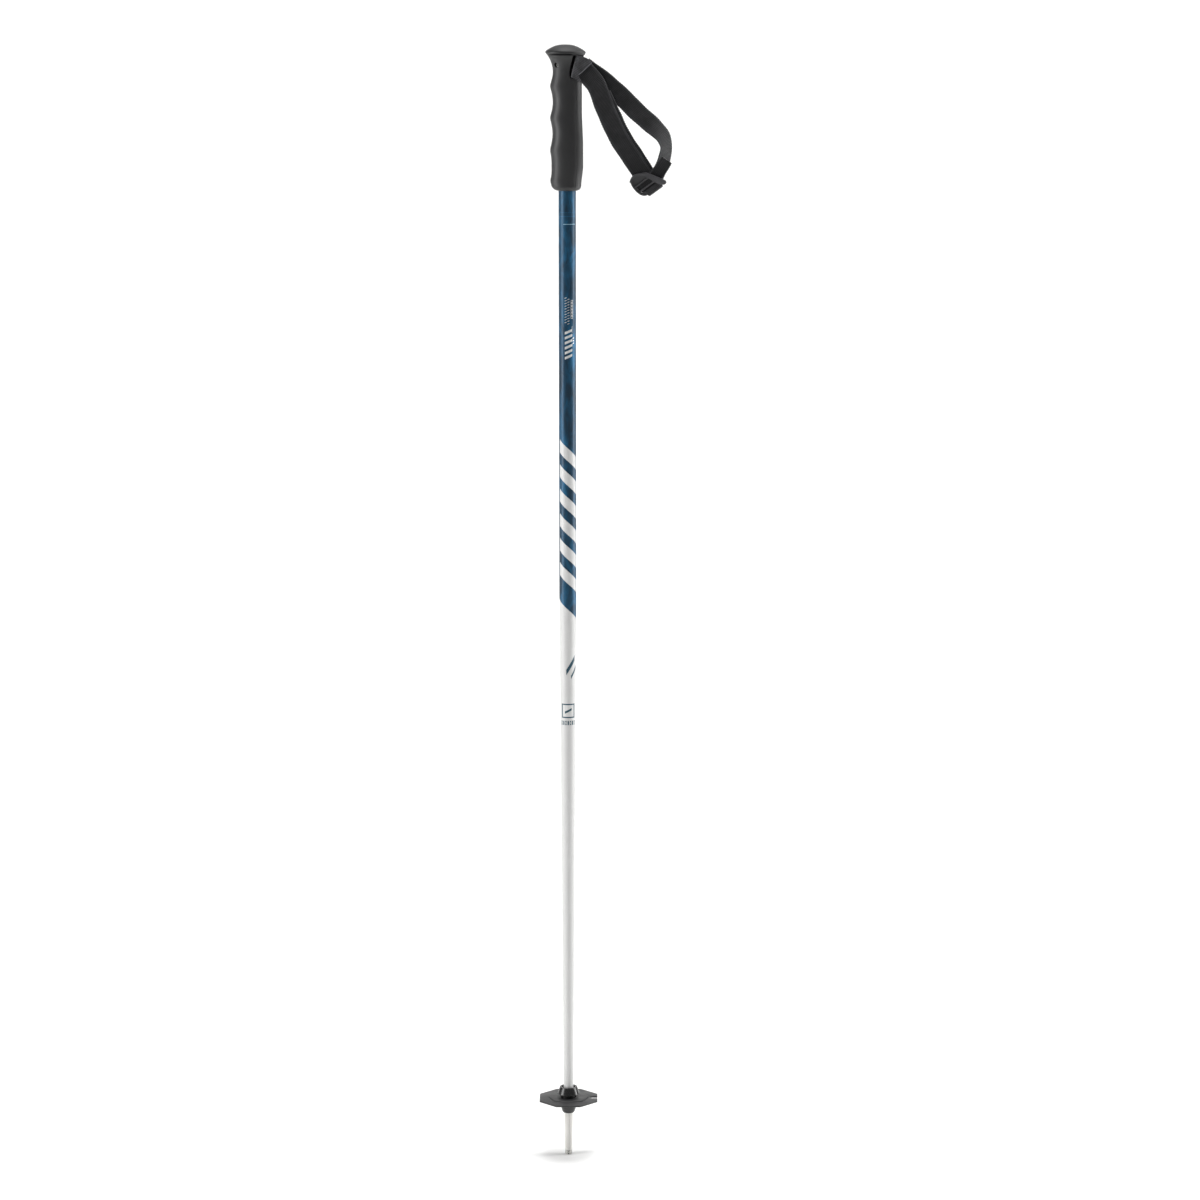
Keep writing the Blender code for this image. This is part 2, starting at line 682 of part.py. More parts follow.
def strap_root_fold(material):
    """The webbing where it leaves the notch: a near face, folded back to the anchor."""
    outline = [(x, TOP - drop) for x, drop in ROOT_FOLD]
    face = prism(outline, ROOT_NEAR_Y, ROOT_NEAR_Y + WEB_THICK)
    fold = add_object("strap_root_fold", face, material)
    top, bottom = outline[0], outline[-1]
    inward = [(x + WEB_THICK, z) for x, z in (bottom, top)]
    far = NOTCH_FAR_Y - ANCHOR_THICK - 2 * GAP
    back = prism([top, bottom, *inward], ROOT_NEAR_Y + WEB_THICK / 2, far)
    join(fold, add_object("fold_back_helper", back), "fold_back")
    return fold


def strap_stitching(material):
    """One raised row of thread along the edge of the fold."""
    along = Vector((cos(FOLD_TURN), 0, sin(FOLD_TURN)))
    across = Vector((-sin(FOLD_TURN), 0, cos(FOLD_TURN)))
    middle = FOLD_MIDDLE + Vector((0, 0, TOP)) + across * (STITCH_WIDTH + GAP)
    outline = []
    for a, b in ((-1, 0), (1, 0), (1, 1), (-1, 1)):
        corner = middle + along * a * STITCH_LENGTH / 2 + across * b * STITCH_WIDTH
        outline.append((corner.x, corner.z))
    far = ROOT_NEAR_Y - GAP
    return add_object("strap_stitching", prism(outline, far - STITCH_HEIGHT, far), material)


def strap_layer(name, stations, layer, material, axis):
    """A stretch of webbing; each layer lies one thickness further from the front."""
    near = FIRST_LAYER_Y + (layer - 1) * (WEB_THICK + LAYER_GAP)
    return add_object(name, webbing(stations, near), material, axis)


def buckle_point(along, across):
    """From the buckle's own axes to (x, z)."""
    c, s = cos(BUCKLE_TURN), sin(BUCKLE_TURN)
    x = BUCKLE_CENTRE.x + along * c + across * s
    z = TOP + BUCKLE_CENTRE.z + along * s - across * c
    return x, z


def buckle_rectangle(low_u, high_u, low_v, high_v):
    corners = ((low_u, low_v), (high_u, low_v), (high_u, high_v), (low_u, high_v))
    return [buckle_point(u, v) for u, v in corners]


def buckle_frame(material, axis):
    outline = [buckle_point(u, v) for u, v in BUCKLE_OUTLINE]
    plate = prism(outline, BUCKLE_NEAR_Y, BUCKLE_NEAR_Y + BUCKLE_THICK)
    frame = add_object("buckle_frame", plate, material, axis)
    for i, window in enumerate(BUCKLE_WINDOWS):
        near, far = BUCKLE_NEAR_Y - BUCKLE_THICK, BUCKLE_NEAR_Y + 2 * BUCKLE_THICK
        hole = prism(buckle_rectangle(*window), near, far)
        cut(frame, add_object(f"window_cutter_{i}", hole), f"window_{i}")
    return frame


def strap_buckle_turn(material, axis):
    """Webbing where it turns round the last bar, inside the widest window."""
    low_u, high_u, low_v, high_v = BUCKLE_WINDOWS[-1]
    inset = 2 * GAP
    outline = buckle_rectangle(low_u + inset, high_u - inset, low_v + inset, high_v - inset)
    near = BUCKLE_NEAR_Y + (BUCKLE_THICK - WEB_THICK) / 2
    return add_object("strap_buckle_turn", prism(outline, near, near + WEB_THICK), material, axis)


def build():
    clear_scene()
    rubber = finish("grip_rubber", (0.045, 0.044, 0.046), 0.6)
    hard = finish("cap_plastic", (0.05, 0.05, 0.052), 0.45)
    black = finish("basket_plastic", (0.022, 0.021, 0.022), 0.5)
    gloss = finish("collar_plastic", (0.02, 0.02, 0.021), 0.3)
    paint = finish("tube_paint", (0.01, 0.09, 0.18), 0.35, 0.3)
    white = finish("ferrule_plastic", (0.75, 0.74, 0.72), 0.4)
    steel = finish("tip_steel", (0.6, 0.6, 0.58), 0.3, 1.0)
    dark_steel = finish("stub_steel", (0.05, 0.05, 0.05), 0.35, 1.0)
    polyester = finish("webbing", (0.012, 0.012, 0.014), 0.85)
    thread = finish("thread", (0.3, 0.3, 0.32), 0.7)
    moulded = finish("buckle_plastic", (0.07, 0.07, 0.075), 0.45)

    grip_body(rubber)
    grip_cap(hard)
    strap_screw(steel)
    shaft_tube(paint)
    shaft_top_plug(black)
    tip_ferrule(white)
    tip_crown(steel)
    add_object("tip_stub", cylinder(STUB_R, (0, 0, 0), (0, 0, STUB_LENGTH)), dark_steel)

    spin = add_axis("basket_spin_axis", (0, 0, DISC_Z))
    basket_hub(gloss, spin)
    basket_disc(black, spin)

    strap_anchor(polyester)
    strap_root_fold(polyester)
    strap_stitching(thread)
    fold = add_axis("strap_fold_axis", (FOLD_MIDDLE.x, FOLD_AXIS_Y, TOP + FOLD_MIDDLE.z))
    strap_layer("strap_front_limb", FRONT_LIMB, 1, polyester, fold)
    strap_layer("strap_inner_layer", INNER_LAYER, 2, polyester, fold)
    strap_layer("strap_back_limb", BACK_LIMB, 3, polyester, fold)
    strap_layer("strap_bend", BEND, 3, polyester, fold)

    x, z = buckle_point(0.0, -BUCKLE_HINGE)
    hinge = add_axis("buckle_tilt_axis", (x, BUCKLE_NEAR_Y + BUCKLE_THICK / 2, z), fold)
    buckle_frame(moulded, hinge)
    strap_buckle_turn(polyester, hinge)

    start_x, start_drop, _ = TAIL[0]
    slide = add_axis("tail_slide_axis", (start_x, FOLD_AXIS_Y, TOP - start_drop), fold)
    strap_layer("strap_tail", TAIL, 1, polyester, slide)


build()
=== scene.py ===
import json
from functools import partial
from math import cos, exp, hypot, pi, radians, sin, sqrt

import bmesh
import bpy
import numpy as np
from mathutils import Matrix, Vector

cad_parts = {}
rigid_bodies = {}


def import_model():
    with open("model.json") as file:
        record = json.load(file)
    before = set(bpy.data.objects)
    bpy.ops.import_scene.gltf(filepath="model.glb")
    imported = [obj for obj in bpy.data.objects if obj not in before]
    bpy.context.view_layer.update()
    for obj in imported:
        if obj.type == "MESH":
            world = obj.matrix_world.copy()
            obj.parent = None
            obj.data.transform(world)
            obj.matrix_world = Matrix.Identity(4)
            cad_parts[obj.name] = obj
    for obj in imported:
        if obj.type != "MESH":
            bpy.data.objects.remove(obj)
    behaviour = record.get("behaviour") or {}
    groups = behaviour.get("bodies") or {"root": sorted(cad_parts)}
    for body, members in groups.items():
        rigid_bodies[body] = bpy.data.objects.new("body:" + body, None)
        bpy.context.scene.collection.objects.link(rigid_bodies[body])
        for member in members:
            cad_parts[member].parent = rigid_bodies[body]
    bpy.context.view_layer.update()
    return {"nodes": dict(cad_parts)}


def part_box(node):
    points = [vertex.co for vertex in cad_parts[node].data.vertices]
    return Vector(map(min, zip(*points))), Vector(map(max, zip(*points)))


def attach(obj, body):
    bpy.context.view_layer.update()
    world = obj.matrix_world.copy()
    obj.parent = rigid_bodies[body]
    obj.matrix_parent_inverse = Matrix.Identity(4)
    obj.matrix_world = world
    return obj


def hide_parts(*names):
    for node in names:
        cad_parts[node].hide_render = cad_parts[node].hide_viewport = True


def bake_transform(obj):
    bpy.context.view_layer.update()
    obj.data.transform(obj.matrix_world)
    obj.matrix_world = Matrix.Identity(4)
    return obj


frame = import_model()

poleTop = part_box("grip_cap")[1].z
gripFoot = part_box("grip_body")[0].z

# camera, standing at about grip height and looking a little down on the basket
cameraSet = {"distance": 3.40, "height": 1.12, "across": 0.030, "pitch": 9.72, "lens": 111.0, "clip": (0.05, 60)}
camera = bpy.data.objects.new("camera", bpy.data.cameras.new("camera"))
bpy.context.scene.collection.objects.link(camera)
camera.location = (cameraSet["across"], -cameraSet["distance"], cameraSet["height"])
camera.rotation_euler = (radians(90 - cameraSet["pitch"]), 0, 0)
camera.data.lens = cameraSet["lens"]
camera.data.clip_start, camera.data.clip_end = cameraSet["clip"]
bpy.context.scene.camera = camera
print("camera set")


# small helpers for modelling

def leaveEditing():
    if bpy.context.object and bpy.context.object.mode != "OBJECT":
        bpy.ops.object.mode_set(mode="OBJECT")


def startAlone():
    leaveEditing()
    bpy.ops.object.select_all(action="DESELECT")


def makeActive(piece):
    startAlone()
    piece.select_set(True)
    bpy.context.view_layer.objects.active = piece


def named(name):
    made = bpy.context.object
    made.name = made.data.name = name
    return made


def chooseAll():
    bpy.ops.mesh.select_all(action="SELECT")


def facesOut():
    chooseAll()
    bpy.ops.mesh.normals_make_consistent(inside=False)


def pushOut(step):
    bpy.ops.mesh.extrude_region_move(TRANSFORM_OT_translate={"value": step})


def choose(piece, kind, wanted):
    # in edit mode, selects the vertices, edges or faces that wanted(part) says
    bpy.ops.mesh.select_mode(type=kind)
    bpy.ops.mesh.select_all(action="DESELECT")
    mesh = bmesh.from_edit_mesh(piece.data)
    parts = {"VERT": mesh.verts, "EDGE": mesh.edges, "FACE": mesh.faces}[kind]
    for part in [part for part in parts if wanted(part)]:
        part.select_set(True)
    mesh.select_flush_mode()
    bmesh.update_edit_mesh(piece.data)


def cutBy(piece, cutter, operation="DIFFERENCE"):
    makeActive(piece)
    step = piece.modifiers.new("cut", "BOOLEAN")
    step.operation, step.solver, step.object = operation, "EXACT", cutter
    bpy.ops.object.modifier_apply(modifier="cut")
    bpy.data.objects.remove(cutter)


def roundEdges(piece, width, steps, angle):
    makeActive(piece)
    step = piece.modifiers.new("round", "BEVEL")
    step.width, step.segments, step.angle_limit = width, steps, radians(angle)
    step.limit_method = "ANGLE"
    bpy.ops.object.modifier_apply(modifier="round")


def settle(piece, material, nodes, body, angle):
    makeActive(piece)
    bpy.ops.object.transform_apply()
    bpy.ops.object.shade_smooth_by_angle(angle=radians(angle))
    piece.data.materials.clear()
    piece.data.materials.append(material)
    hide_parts(*nodes)
    if body:
        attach(piece, body)
    print(piece.name, len(piece.data.polygons), "faces")
    return piece


def startLine(name, points):
    # one vertex, extruded from point to point
    startAlone()
    bpy.ops.mesh.primitive_plane_add(size=0.001, location=points[0])
    piece = named(name)
    bpy.ops.object.mode_set(mode="EDIT")
    bpy.ops.mesh.merge(type="CENTER")
    for before, after in zip(points, points[1:]):
        pushOut(Vector(after) - Vector(before))
    return piece


def turnedPiece(name, profile, steps=96):
    # a closed profile of (radius, height) in mm, spun round the pole's axis
    piece = startLine(name, [(radius / 1000, 0, height / 1000) for radius, height in profile + profile[:1]])
    chooseAll()
    bpy.ops.mesh.spin(steps=steps, angle=2 * pi, center=(0, 0, 0), axis=(0, 0, 1))
    chooseAll()
    bpy.ops.mesh.remove_doubles(threshold=0.000005)
    facesOut()
    leaveEditing()
    return piece


def drawnPlate(name, outline, push):
    # an outline of points, filled and pushed out to a plate
    piece = startLine(name, outline)
    chooseAll()
    bpy.ops.mesh.edge_face_add()
    pushOut(push)
    facesOut()
    leaveEditing()
    return piece


def uprightPlate(name, outline, nearY, farY):
    # a plate that faces the front, from (x, z) points
    return drawnPlate(name, [(x, nearY, z) for x, z in outline], (0, farY - nearY, 0))


def placedCylinder(name, radius, start, end, sides=48):
    startAlone()
    start, end = Vector(start), Vector(end)
    along = end - start
    turn = along.to_track_quat("Z", "Y").to_euler()
    bpy.ops.mesh.primitive_cylinder_add(
        vertices=sides, radius=radius, depth=along.length, location=(start + end) / 2, rotation=turn)
    return named(name)


# small helpers for materials

def linear(hexCode):
    # an sRGB hex colour as linear red, green, blue, alpha
    parts = [int(hexCode[i:i + 2], 16) / 255 for i in (1, 3, 5)]
    return [p / 12.92 if p <= 0.04045 else ((p + 0.055) / 1.055) ** 2.4 for p in parts] + [1]


def feed(node, inputs):
    # inputs by name, or in the node's own order: numbers are set, nodes and sockets linked
    for name, value in inputs.items() if isinstance(inputs, dict) else enumerate(inputs):
        if isinstance(value, bpy.types.Node):
            value = value.outputs[0]
        if isinstance(value, bpy.types.NodeSocket):
            node.id_data.links.new(value, node.inputs[name])
        else:
            node.inputs[name].default_value = value


def addNode(tree, kind, inputs=(), operation=None, ramp=(), **settings):
    node = tree.nodes.new("ShaderNode" + kind)
    if operation:
        node.operation = operation
    for name, value in settings.items():
        setattr(node, name, value)
    for _ in ramp[2:]:
        node.color_ramp.elements.new(0.5)
    for i, (place, hexCode) in enumerate(ramp):
        stop = node.color_ramp.elements[i]
        stop.position, stop.color = place, linear(hexCode)
    feed(node, inputs)
    return node


def newMaterial(name, values):
    # returns the material, what adds nodes to it, and its shader, which holds the uniform values
    made = bpy.data.materials.new(name)
    made.use_nodes = True
    shader = made.node_tree.nodes["Principled BSDF"]
    feed(shader, values)
    return made, partial(addNode, made.node_tree), shader


def mouldedSurface(name, facts):
    # moulded plastic or rubber: cloudy colour, fine eroded grain and rubbed patches
    made, node, shader = newMaterial(name, {"IOR": facts["ior"]})
    place = node("TexCoord").outputs["Object"]
    cloud = node("TexNoise", {"Vector": place, "Scale": 1000 / facts["cloudMm"], "Detail": 3.0})
    grain = node("TexNoise", {
        "Vector": place, "Scale": 1000 / facts["grainMm"], "Detail": 4.0, "Roughness": 0.6})
    blend = node("Math", [cloud, grain], "MULTIPLY")
    colour = node("ValToRGB", [blend], ramp=[(0.12, facts["dark"]), (0.42, facts["light"])])
    rough = node("MapRange", [cloud, 0.3, 0.7, facts["roughLow"], facts["roughHigh"]])
    bump = node("Bump", {"Height": grain, "Strength": facts["bump"], "Distance": facts["grainMm"] / 4000})
    feed(shader, {"Base Color": colour, "Roughness": rough, "Normal": bump})
    return made


# thermoplastic elastomer over the grip: spark-eroded mould, soft and matte, no clear reflections
softTouchElastomer = mouldedSurface("softTouchElastomer", {
    "ior": 1.5, "dark": "#1a1a1b", "light": "#212122", "cloudMm": 26, "grainMm": 0.45,
    "roughLow": 0.44, "roughHigh": 0.52, "bump": 0.35})
# filled polypropylene of the cap: a little smoother than the grip, broad soft highlight
satinPolypropylene = mouldedSurface("satinPolypropylene", {
    "ior": 1.49, "dark": "#151516", "light": "#1c1c1d", "cloudMm": 18, "grainMm": 0.6,
    "roughLow": 0.46, "roughHigh": 0.54, "bump": 0.22})
# low-density polyethylene basket: fine matte moulding that greys a little
mattePolyethylene = mouldedSurface("mattePolyethylene", {
    "ior": 1.51, "dark": "#1b1b1c", "light": "#262627", "cloudMm": 14, "grainMm": 0.7,
    "roughLow": 0.42, "roughHigh": 0.55, "bump": 0.30})
# harder nylon hub: polished mould, dark with clear soft-edged reflections
polishedNylon = mouldedSurface("polishedNylon", {
    "ior": 1.53, "dark": "#141414", "light": "#1e1e1e", "cloudMm": 9, "grainMm": 0.9,
    "roughLow": 0.20, "roughHigh": 0.28, "bump": 0.06})
# acetal buckle: satin, slightly lighter grey than the webbing
satinAcetal = mouldedSurface("satinAcetal", {
    "ior": 1.48, "dark": "#404042", "light": "#4a4a4c", "cloudMm": 7, "grainMm": 0.4,
    "roughLow": 0.38, "roughHigh": 0.48, "bump": 0.20})
# white acetal ferrule: smooth, faintly warm
whiteAcetal = mouldedSurface("whiteAcetal", {
    "ior": 1.48, "dark": "#d2d0cc", "light": "#dad8d4", "cloudMm": 22, "grainMm": 0.9,
    "roughLow": 0.30, "roughHigh": 0.40, "bump": 0.05})


def turnedSteel(name, facts):
    # machined steel: rings left by the tool round the axis, and dull spots
    made, node, shader = newMaterial(name, {"Metallic": 1.0})
    place = node("TexCoord").outputs["Object"]
    parts = node("SeparateXYZ", [place])
    ring = node("Math", [parts.outputs["Z"], 2000 * pi / facts["ringMm"]], "MULTIPLY")
    wave = node("Math", [ring], "SINE")
    spots = node("TexNoise", {"Vector": place, "Scale": 1000 / facts["spotMm"], "Detail": 5.0})
    colour = node("ValToRGB", [spots], ramp=[(0, facts["dark"]), (1, facts["light"])])
    rough = node("MapRange", [spots, 0.35, 0.65, facts["roughLow"], facts["roughHigh"]])
    bump = node("Bump", {"Height": wave, "Strength": 0.25, "Distance": facts["ringMm"] / 20000})
    feed(shader, {"Base Color": colour, "Roughness": rough, "Normal": bump})
    return made


# turned and tempered steel crown: bright with fine tool rings
brightSteel = turnedSteel("brightSteel", {
    "dark": "#8d8c89", "light": "#d8d7d2", "ringMm": 0.35, "spotMm": 1.4, "roughLow": 0.22, "roughHigh": 0.36})
# sintered carbide stub: dark grey, ground end
sinteredCarbide = turnedSteel("sinteredCarbide", {
    "dark": "#2b2b2c", "light": "#4a4a4b", "ringMm": 0.5, "spotMm": 0.7, "roughLow": 0.30, "roughHigh": 0.50})
# zinc plate on the screw: greyish, half bright
zincPlate = turnedSteel("zincPlate", {
    "dark": "#4c4c4b", "light": "#7e7e7c", "ringMm": 0.3, "spotMm": 0.9, "roughLow": 0.25, "roughHigh": 0.40})


def wovenPolyester(name, facts):
    # ribbed webbing: crosswise rows, each of short slanted yarns; reads the strap's own map, in metres
    made, node, shader = newMaterial(name, {"Sheen Weight": facts["sheen"], "Sheen Roughness": 0.5, "IOR": 1.5})
    place = node("UVMap", uv_map="strapMap")
    parts = node("SeparateXYZ", [place])
    across, along = parts.outputs["X"], parts.outputs["Y"]
    rows = node("Math", [along, 1000 / facts["rowMm"]], "MULTIPLY")
    rowIndex = node("Math", [rows], "FLOOR")
    inRow = node("Math", [rows], "FRACT")
    halfTurn = node("Math", [inRow, pi], "MULTIPLY")
    rib = node("Math", [halfTurn], "SINE")
    slant = node("Math", [inRow, facts["slant"]], "MULTIPLY")
    shift = node("Math", [rowIndex, 0.5, slant], "MULTIPLY_ADD")
    yarns = node("Math", [across, 1000 / facts["yarnMm"], shift], "MULTIPLY_ADD")
    yarnTurn = node("Math", [yarns, pi], "MULTIPLY")
    yarnWave = node("Math", [yarnTurn], "SINE")
    yarn = node("Math", [yarnWave], "ABSOLUTE")
    dash = node("Math", [yarn, 0.55, 0.45], "MULTIPLY_ADD")
    ridge = node("Math", [rib, 1.4], "POWER")
    height = node("Math", [ridge, dash], "MULTIPLY")
    fibre = node("TexNoise", {"Vector": place, "Scale": 1000 / facts["fibreMm"], "Detail": 3.0})
    patch = node("TexNoise", {"Vector": place, "Scale": 1000 / facts["patchMm"], "Detail": 2.0})
    lit = node("Math", [height, fibre], "MULTIPLY")
    paintedYarnHighlight = node("Math", [lit, patch], "MULTIPLY")
    # painted highlight: the yarn tops are made paler than the black webbing, standing in for the light they catch
    colour = node("ValToRGB", [paintedYarnHighlight], ramp=[(0.06, facts["dark"]), (0.36, facts["light"])])
    # two paler runs of warp inside each selvage
    size = node("Math", [across], "ABSOLUTE")
    runA = node("Math", [size, facts["runA"], facts["runHalf"]], "COMPARE")
    runB = node("Math", [size, facts["runB"], facts["runHalf"]], "COMPARE")
    runs = node("Math", [runA, runB], "MAXIMUM")
    faint = node("Math", [runs, facts["runStrength"]], "MULTIPLY")
    strength = node("Math", [faint, rib], "MULTIPLY")
    final = node("Mix", {0: strength, 6: colour, 7: linear(facts["run"])}, data_type="RGBA")
    rough = node("MapRange", [height, 0, 1, 0.9, facts["roughTop"]])
    both = node("Math", [fibre, 0.35, height], "MULTIPLY_ADD")
    bump = node("Bump", {"Height": both, "Strength": 0.8, "Distance": facts["depthMm"] / 1000})
    feed(shader, {"Base Color": final.outputs[2], "Roughness": rough, "Normal": bump})
    return made


# woven polyester: black, matte between the rows, with a soft sheen on the yarns, partly a real sheen and partly a
# painted highlight that makes the yarn tops paler
weaveFacts = {
    "rowMm": 1.10, "yarnMm": 0.80, "slant": 0.75, "fibreMm": 0.22, "patchMm": 9.0, "sheen": 0.12, "depthMm": 0.22,
    # light: the colour of the painted highlight on the yarn tops, not a colour of the webbing itself
    "dark": "#040405", "light": "#37373c", "run": "#4a4a50", "runA": 0.0071, "runB": 0.0080, "runHalf": 0.00022,
    "runStrength": 0.6, "roughTop": 0.55,
}
ribbedPolyester = wovenPolyester("ribbedPolyester", weaveFacts)
# the folded root is a paler copy of the webbing, a painted highlight where it catches more light, and its yarns lie
# straight
paintedHighlightRootPolyester = wovenPolyester("paintedHighlightRootPolyester", {**weaveFacts, "slant": 0.2, "light": "#747479", "runStrength": 0.0})
print("materials for grip, basket, tip and strap made")


# painted aluminium tube: blue lacquer with brushed clouds above, white below, printed marks under clear lacquer
tubeSet = {
    "radius": 0.0080, "wall": 0.0011, "taperTop": 0.537, "taperPerMetre": 0.00705, "bottom": 0.050, "top": 1.010,
    "sides": 96, "ringStep": 0.030,
    "paint": {
        "colourChange": 0.530, "changeSlant": 0.9, "blueDark": "#00283c", "blueMid": "#003c58",
        "blueLight": "#085a80", "white": "#cfcfce", "whiteDull": "#c6c6c5", "teal": "#17404f", "pale": "#9cc3d6",
        "faint": "#1b5b7e"},
    # large bars in mm: pitch, shares of the pitch, then middle and half of their run up and round the tube
    "bars": {
        "pitch": 23.0, "middle": 0.36, "halfShare": 0.26, "level": 620.0, "halfRun": 68.0, "side": 0.6,
        "halfSide": 9.4},
}
# printed marks in mm: (centre round the tube, centre height, half width, half height, slant, colour)
printedMarks = (
    [(2 * i, 894.5, 0.6, 0.35, 0, "faint") for i in range(-4, 5)]
    + [(1 + 2 * i, 898, 0.5, 0.3, 0, "faint") for i in range(-4, 4)]
    + [(2.5, 887.4, 6, 0.22, 0, "pale")]
    + [(-1.6 + 2.6 * (i % 2), 820 - 1.25 * i, 0.9, 0.28, 0.35, "white") for i in range(20)]
    + [(4.4, 809.5, 1.1, 8.5, 0, "white"), (4.4, 809.5, 0.75, 8.1, 0, "blueDark")]
    + [(4.4, 803.5 + 3 * i, 0.4, 0.9, 0, "white") for i in range(5)]
    + [(4.6, 791, 0.18, 3.2, 0, "white")]
    + [(1.2, 789 - 4.6 * i, 3.6, 1.15, 0.42, "white") for i in range(6)]
    + [(6, 783 - 2.4 * i, 0.8, 0.5, 0.42, "white") for i in range(3)]
    + [(3, 477, 4.6, 2.6, 1.5, "teal"), (6.6, 470.5, 3.4, 1.6, 1.5, "teal")]
    + [(0.4, 433.5, 7.4, 6.8, 0, "teal"), (0.4, 433.5, 6, 5.6, 0, "white"),
       (0.4, 433.5, 3.6, 1.1, 0.45, "teal")]
    + [(-6.9 + 2.4 * i, 422, 0.75, 2, 0, "teal") for i in range(7)]
    + [(-6.9 + 2.4 * i, 422, 0.3, 1, 0, "white") for i in range(0, 7, 2)]
)


def paintTube(facts, bigBars, marks):
    # lacquer over aluminium: a little metal shows through the blue, soft gloss, slight orange peel
    made, node, shader = newMaterial(
        "lacqueredAluminium", {"Coat Weight": 0.12, "Coat Roughness": 0.30, "IOR": 1.45})
    place = node("TexCoord").outputs["Object"]
    parts = node("SeparateXYZ", [place])
    flipped = node("Math", [parts.outputs["Y"], -1.0], "MULTIPLY")
    angle = node("Math", [parts.outputs["X"], flipped], "ARCTAN2")
    around = node("Math", [angle, 8.0], "MULTIPLY")  # mm round the tube
    height = node("Math", [parts.outputs["Z"], 1000.0], "MULTIPLY")  # mm up the pole

    # brushed clouds: strokes about 7 mm and clouds about 22 mm across, both drawn out along the tube
    stretch = node("Mapping", {"Vector": place, "Scale": (1, 1, 0.35)})
    strokes = node("TexNoise", {
        "Vector": stretch, "Scale": 150.0, "Detail": 6.0, "Roughness": 0.62, "Distortion": 1.2})
    clouds = node("TexNoise", {"Vector": stretch, "Scale": 45.0, "Detail": 3.0, "Distortion": 0.8})
    mixed = node("Math", [strokes, clouds], "MULTIPLY")
    blue = node("ValToRGB", [mixed], ramp=[
        (0.17, facts["blueDark"]), (0.26, facts["blueMid"]), (0.40, facts["blueLight"])])
    flecks = node("TexNoise", {"Vector": place, "Scale": 900.0, "Detail": 2.0})
    white = node("ValToRGB", [flecks], ramp=[(0, facts["whiteDull"]), (1, facts["white"])])

    # slanted change from blue to white, then big slanted bars above it
    slanted = node("Math", [around, facts["changeSlant"], height], "MULTIPLY_ADD")
    below = node("Math", [slanted, facts["colourChange"] * 1000], "LESS_THAN")
    barRun = node("Math", [slanted, 1 / bigBars["pitch"]], "MULTIPLY")
    barPart = node("Math", [barRun], "FRACT")
    bar = node("Math", [barPart, bigBars["middle"], bigBars["halfShare"]], "COMPARE")
    span = node("Math", [slanted, bigBars["level"], bigBars["halfRun"]], "COMPARE")
    side = node("Math", [around, bigBars["side"], bigBars["halfSide"]], "COMPARE")
    inSpan = node("Math", [bar, span], "MULTIPLY")
    bars = node("Math", [inSpan, side], "MULTIPLY")
    whole = node("Math", [below, bars], "MAXIMUM")
    colour = node("Mix", {0: whole, 6: blue, 7: white}, data_type="RGBA").outputs[2]

    # small marks: slanted boxes laid over the paint
    for centre, level, halfWide, halfHigh, slant, tone in marks:
        up = node("Math", [around, -slant, height], "MULTIPLY_ADD")
        inHeight = node("Math", [up, level - slant * centre, halfHigh], "COMPARE")
        inWidth = node("Math", [around, centre, halfWide], "COMPARE")
        mark = node("Math", [inHeight, inWidth], "MULTIPLY")
        colour = node("Mix", {0: mark, 6: colour, 7: linear(facts[tone])}, data_type="RGBA").outputs[2]
    shine = node("MapRange", [whole, 0, 1, 0.30, 0.0])
    rough = node("MapRange", [clouds, 0.3, 0.7, 0.36, 0.46])
    peel = node("TexNoise", {"Vector": place, "Scale": 420.0, "Detail": 1.0})
    bump = node("Bump", {"Height": peel, "Strength": 0.06, "Distance": 0.0003})
    feed(shader, {"Base Color": colour, "Metallic": shine, "Roughness": rough, "Normal": bump})
    return made


def tubeRadius(z):
    return tubeSet["radius"] - tubeSet["taperPerMetre"] * max(0.0, tubeSet["taperTop"] - z)


def makeTube():
    facts = tubeSet
    startAlone()
    bpy.ops.mesh.primitive_cylinder_add(
        vertices=facts["sides"], radius=facts["radius"], depth=facts["top"] - facts["bottom"],
        end_fill_type="NOTHING", location=(0, 0, (facts["top"] + facts["bottom"]) / 2))
    tube = named("shaftTube")
    bpy.ops.object.transform_apply()
    bpy.ops.object.mode_set(mode="EDIT")
    rungs = np.arange(facts["bottom"] + facts["ringStep"], facts["top"], facts["ringStep"])
    for level in [facts["taperTop"], *rungs]:
        chooseAll()
        bpy.ops.mesh.bisect(plane_co=(0, 0, level), plane_no=(0, 0, 1))
    rings = sorted({round(v.co.z, 5) for v in bmesh.from_edit_mesh(tube.data).verts})
    for level in rings:
        share = tubeRadius(level) / facts["radius"]
        choose(tube, "VERT", lambda v: abs(v.co.z - level) < 0.00002)
        bpy.ops.transform.resize(value=(share, share, 1), center_override=(0, 0, level))
    leaveEditing()
    wall = tube.modifiers.new("wall", "SOLIDIFY")
    wall.thickness, wall.offset = facts["wall"], -1
    makeActive(tube)
    bpy.ops.object.modifier_apply(modifier="wall")
    lacquer = paintTube(facts["paint"], facts["bars"], printedMarks)
    return settle(tube, lacquer, ["shaft_tube"], "pole", 40)


makeTube()

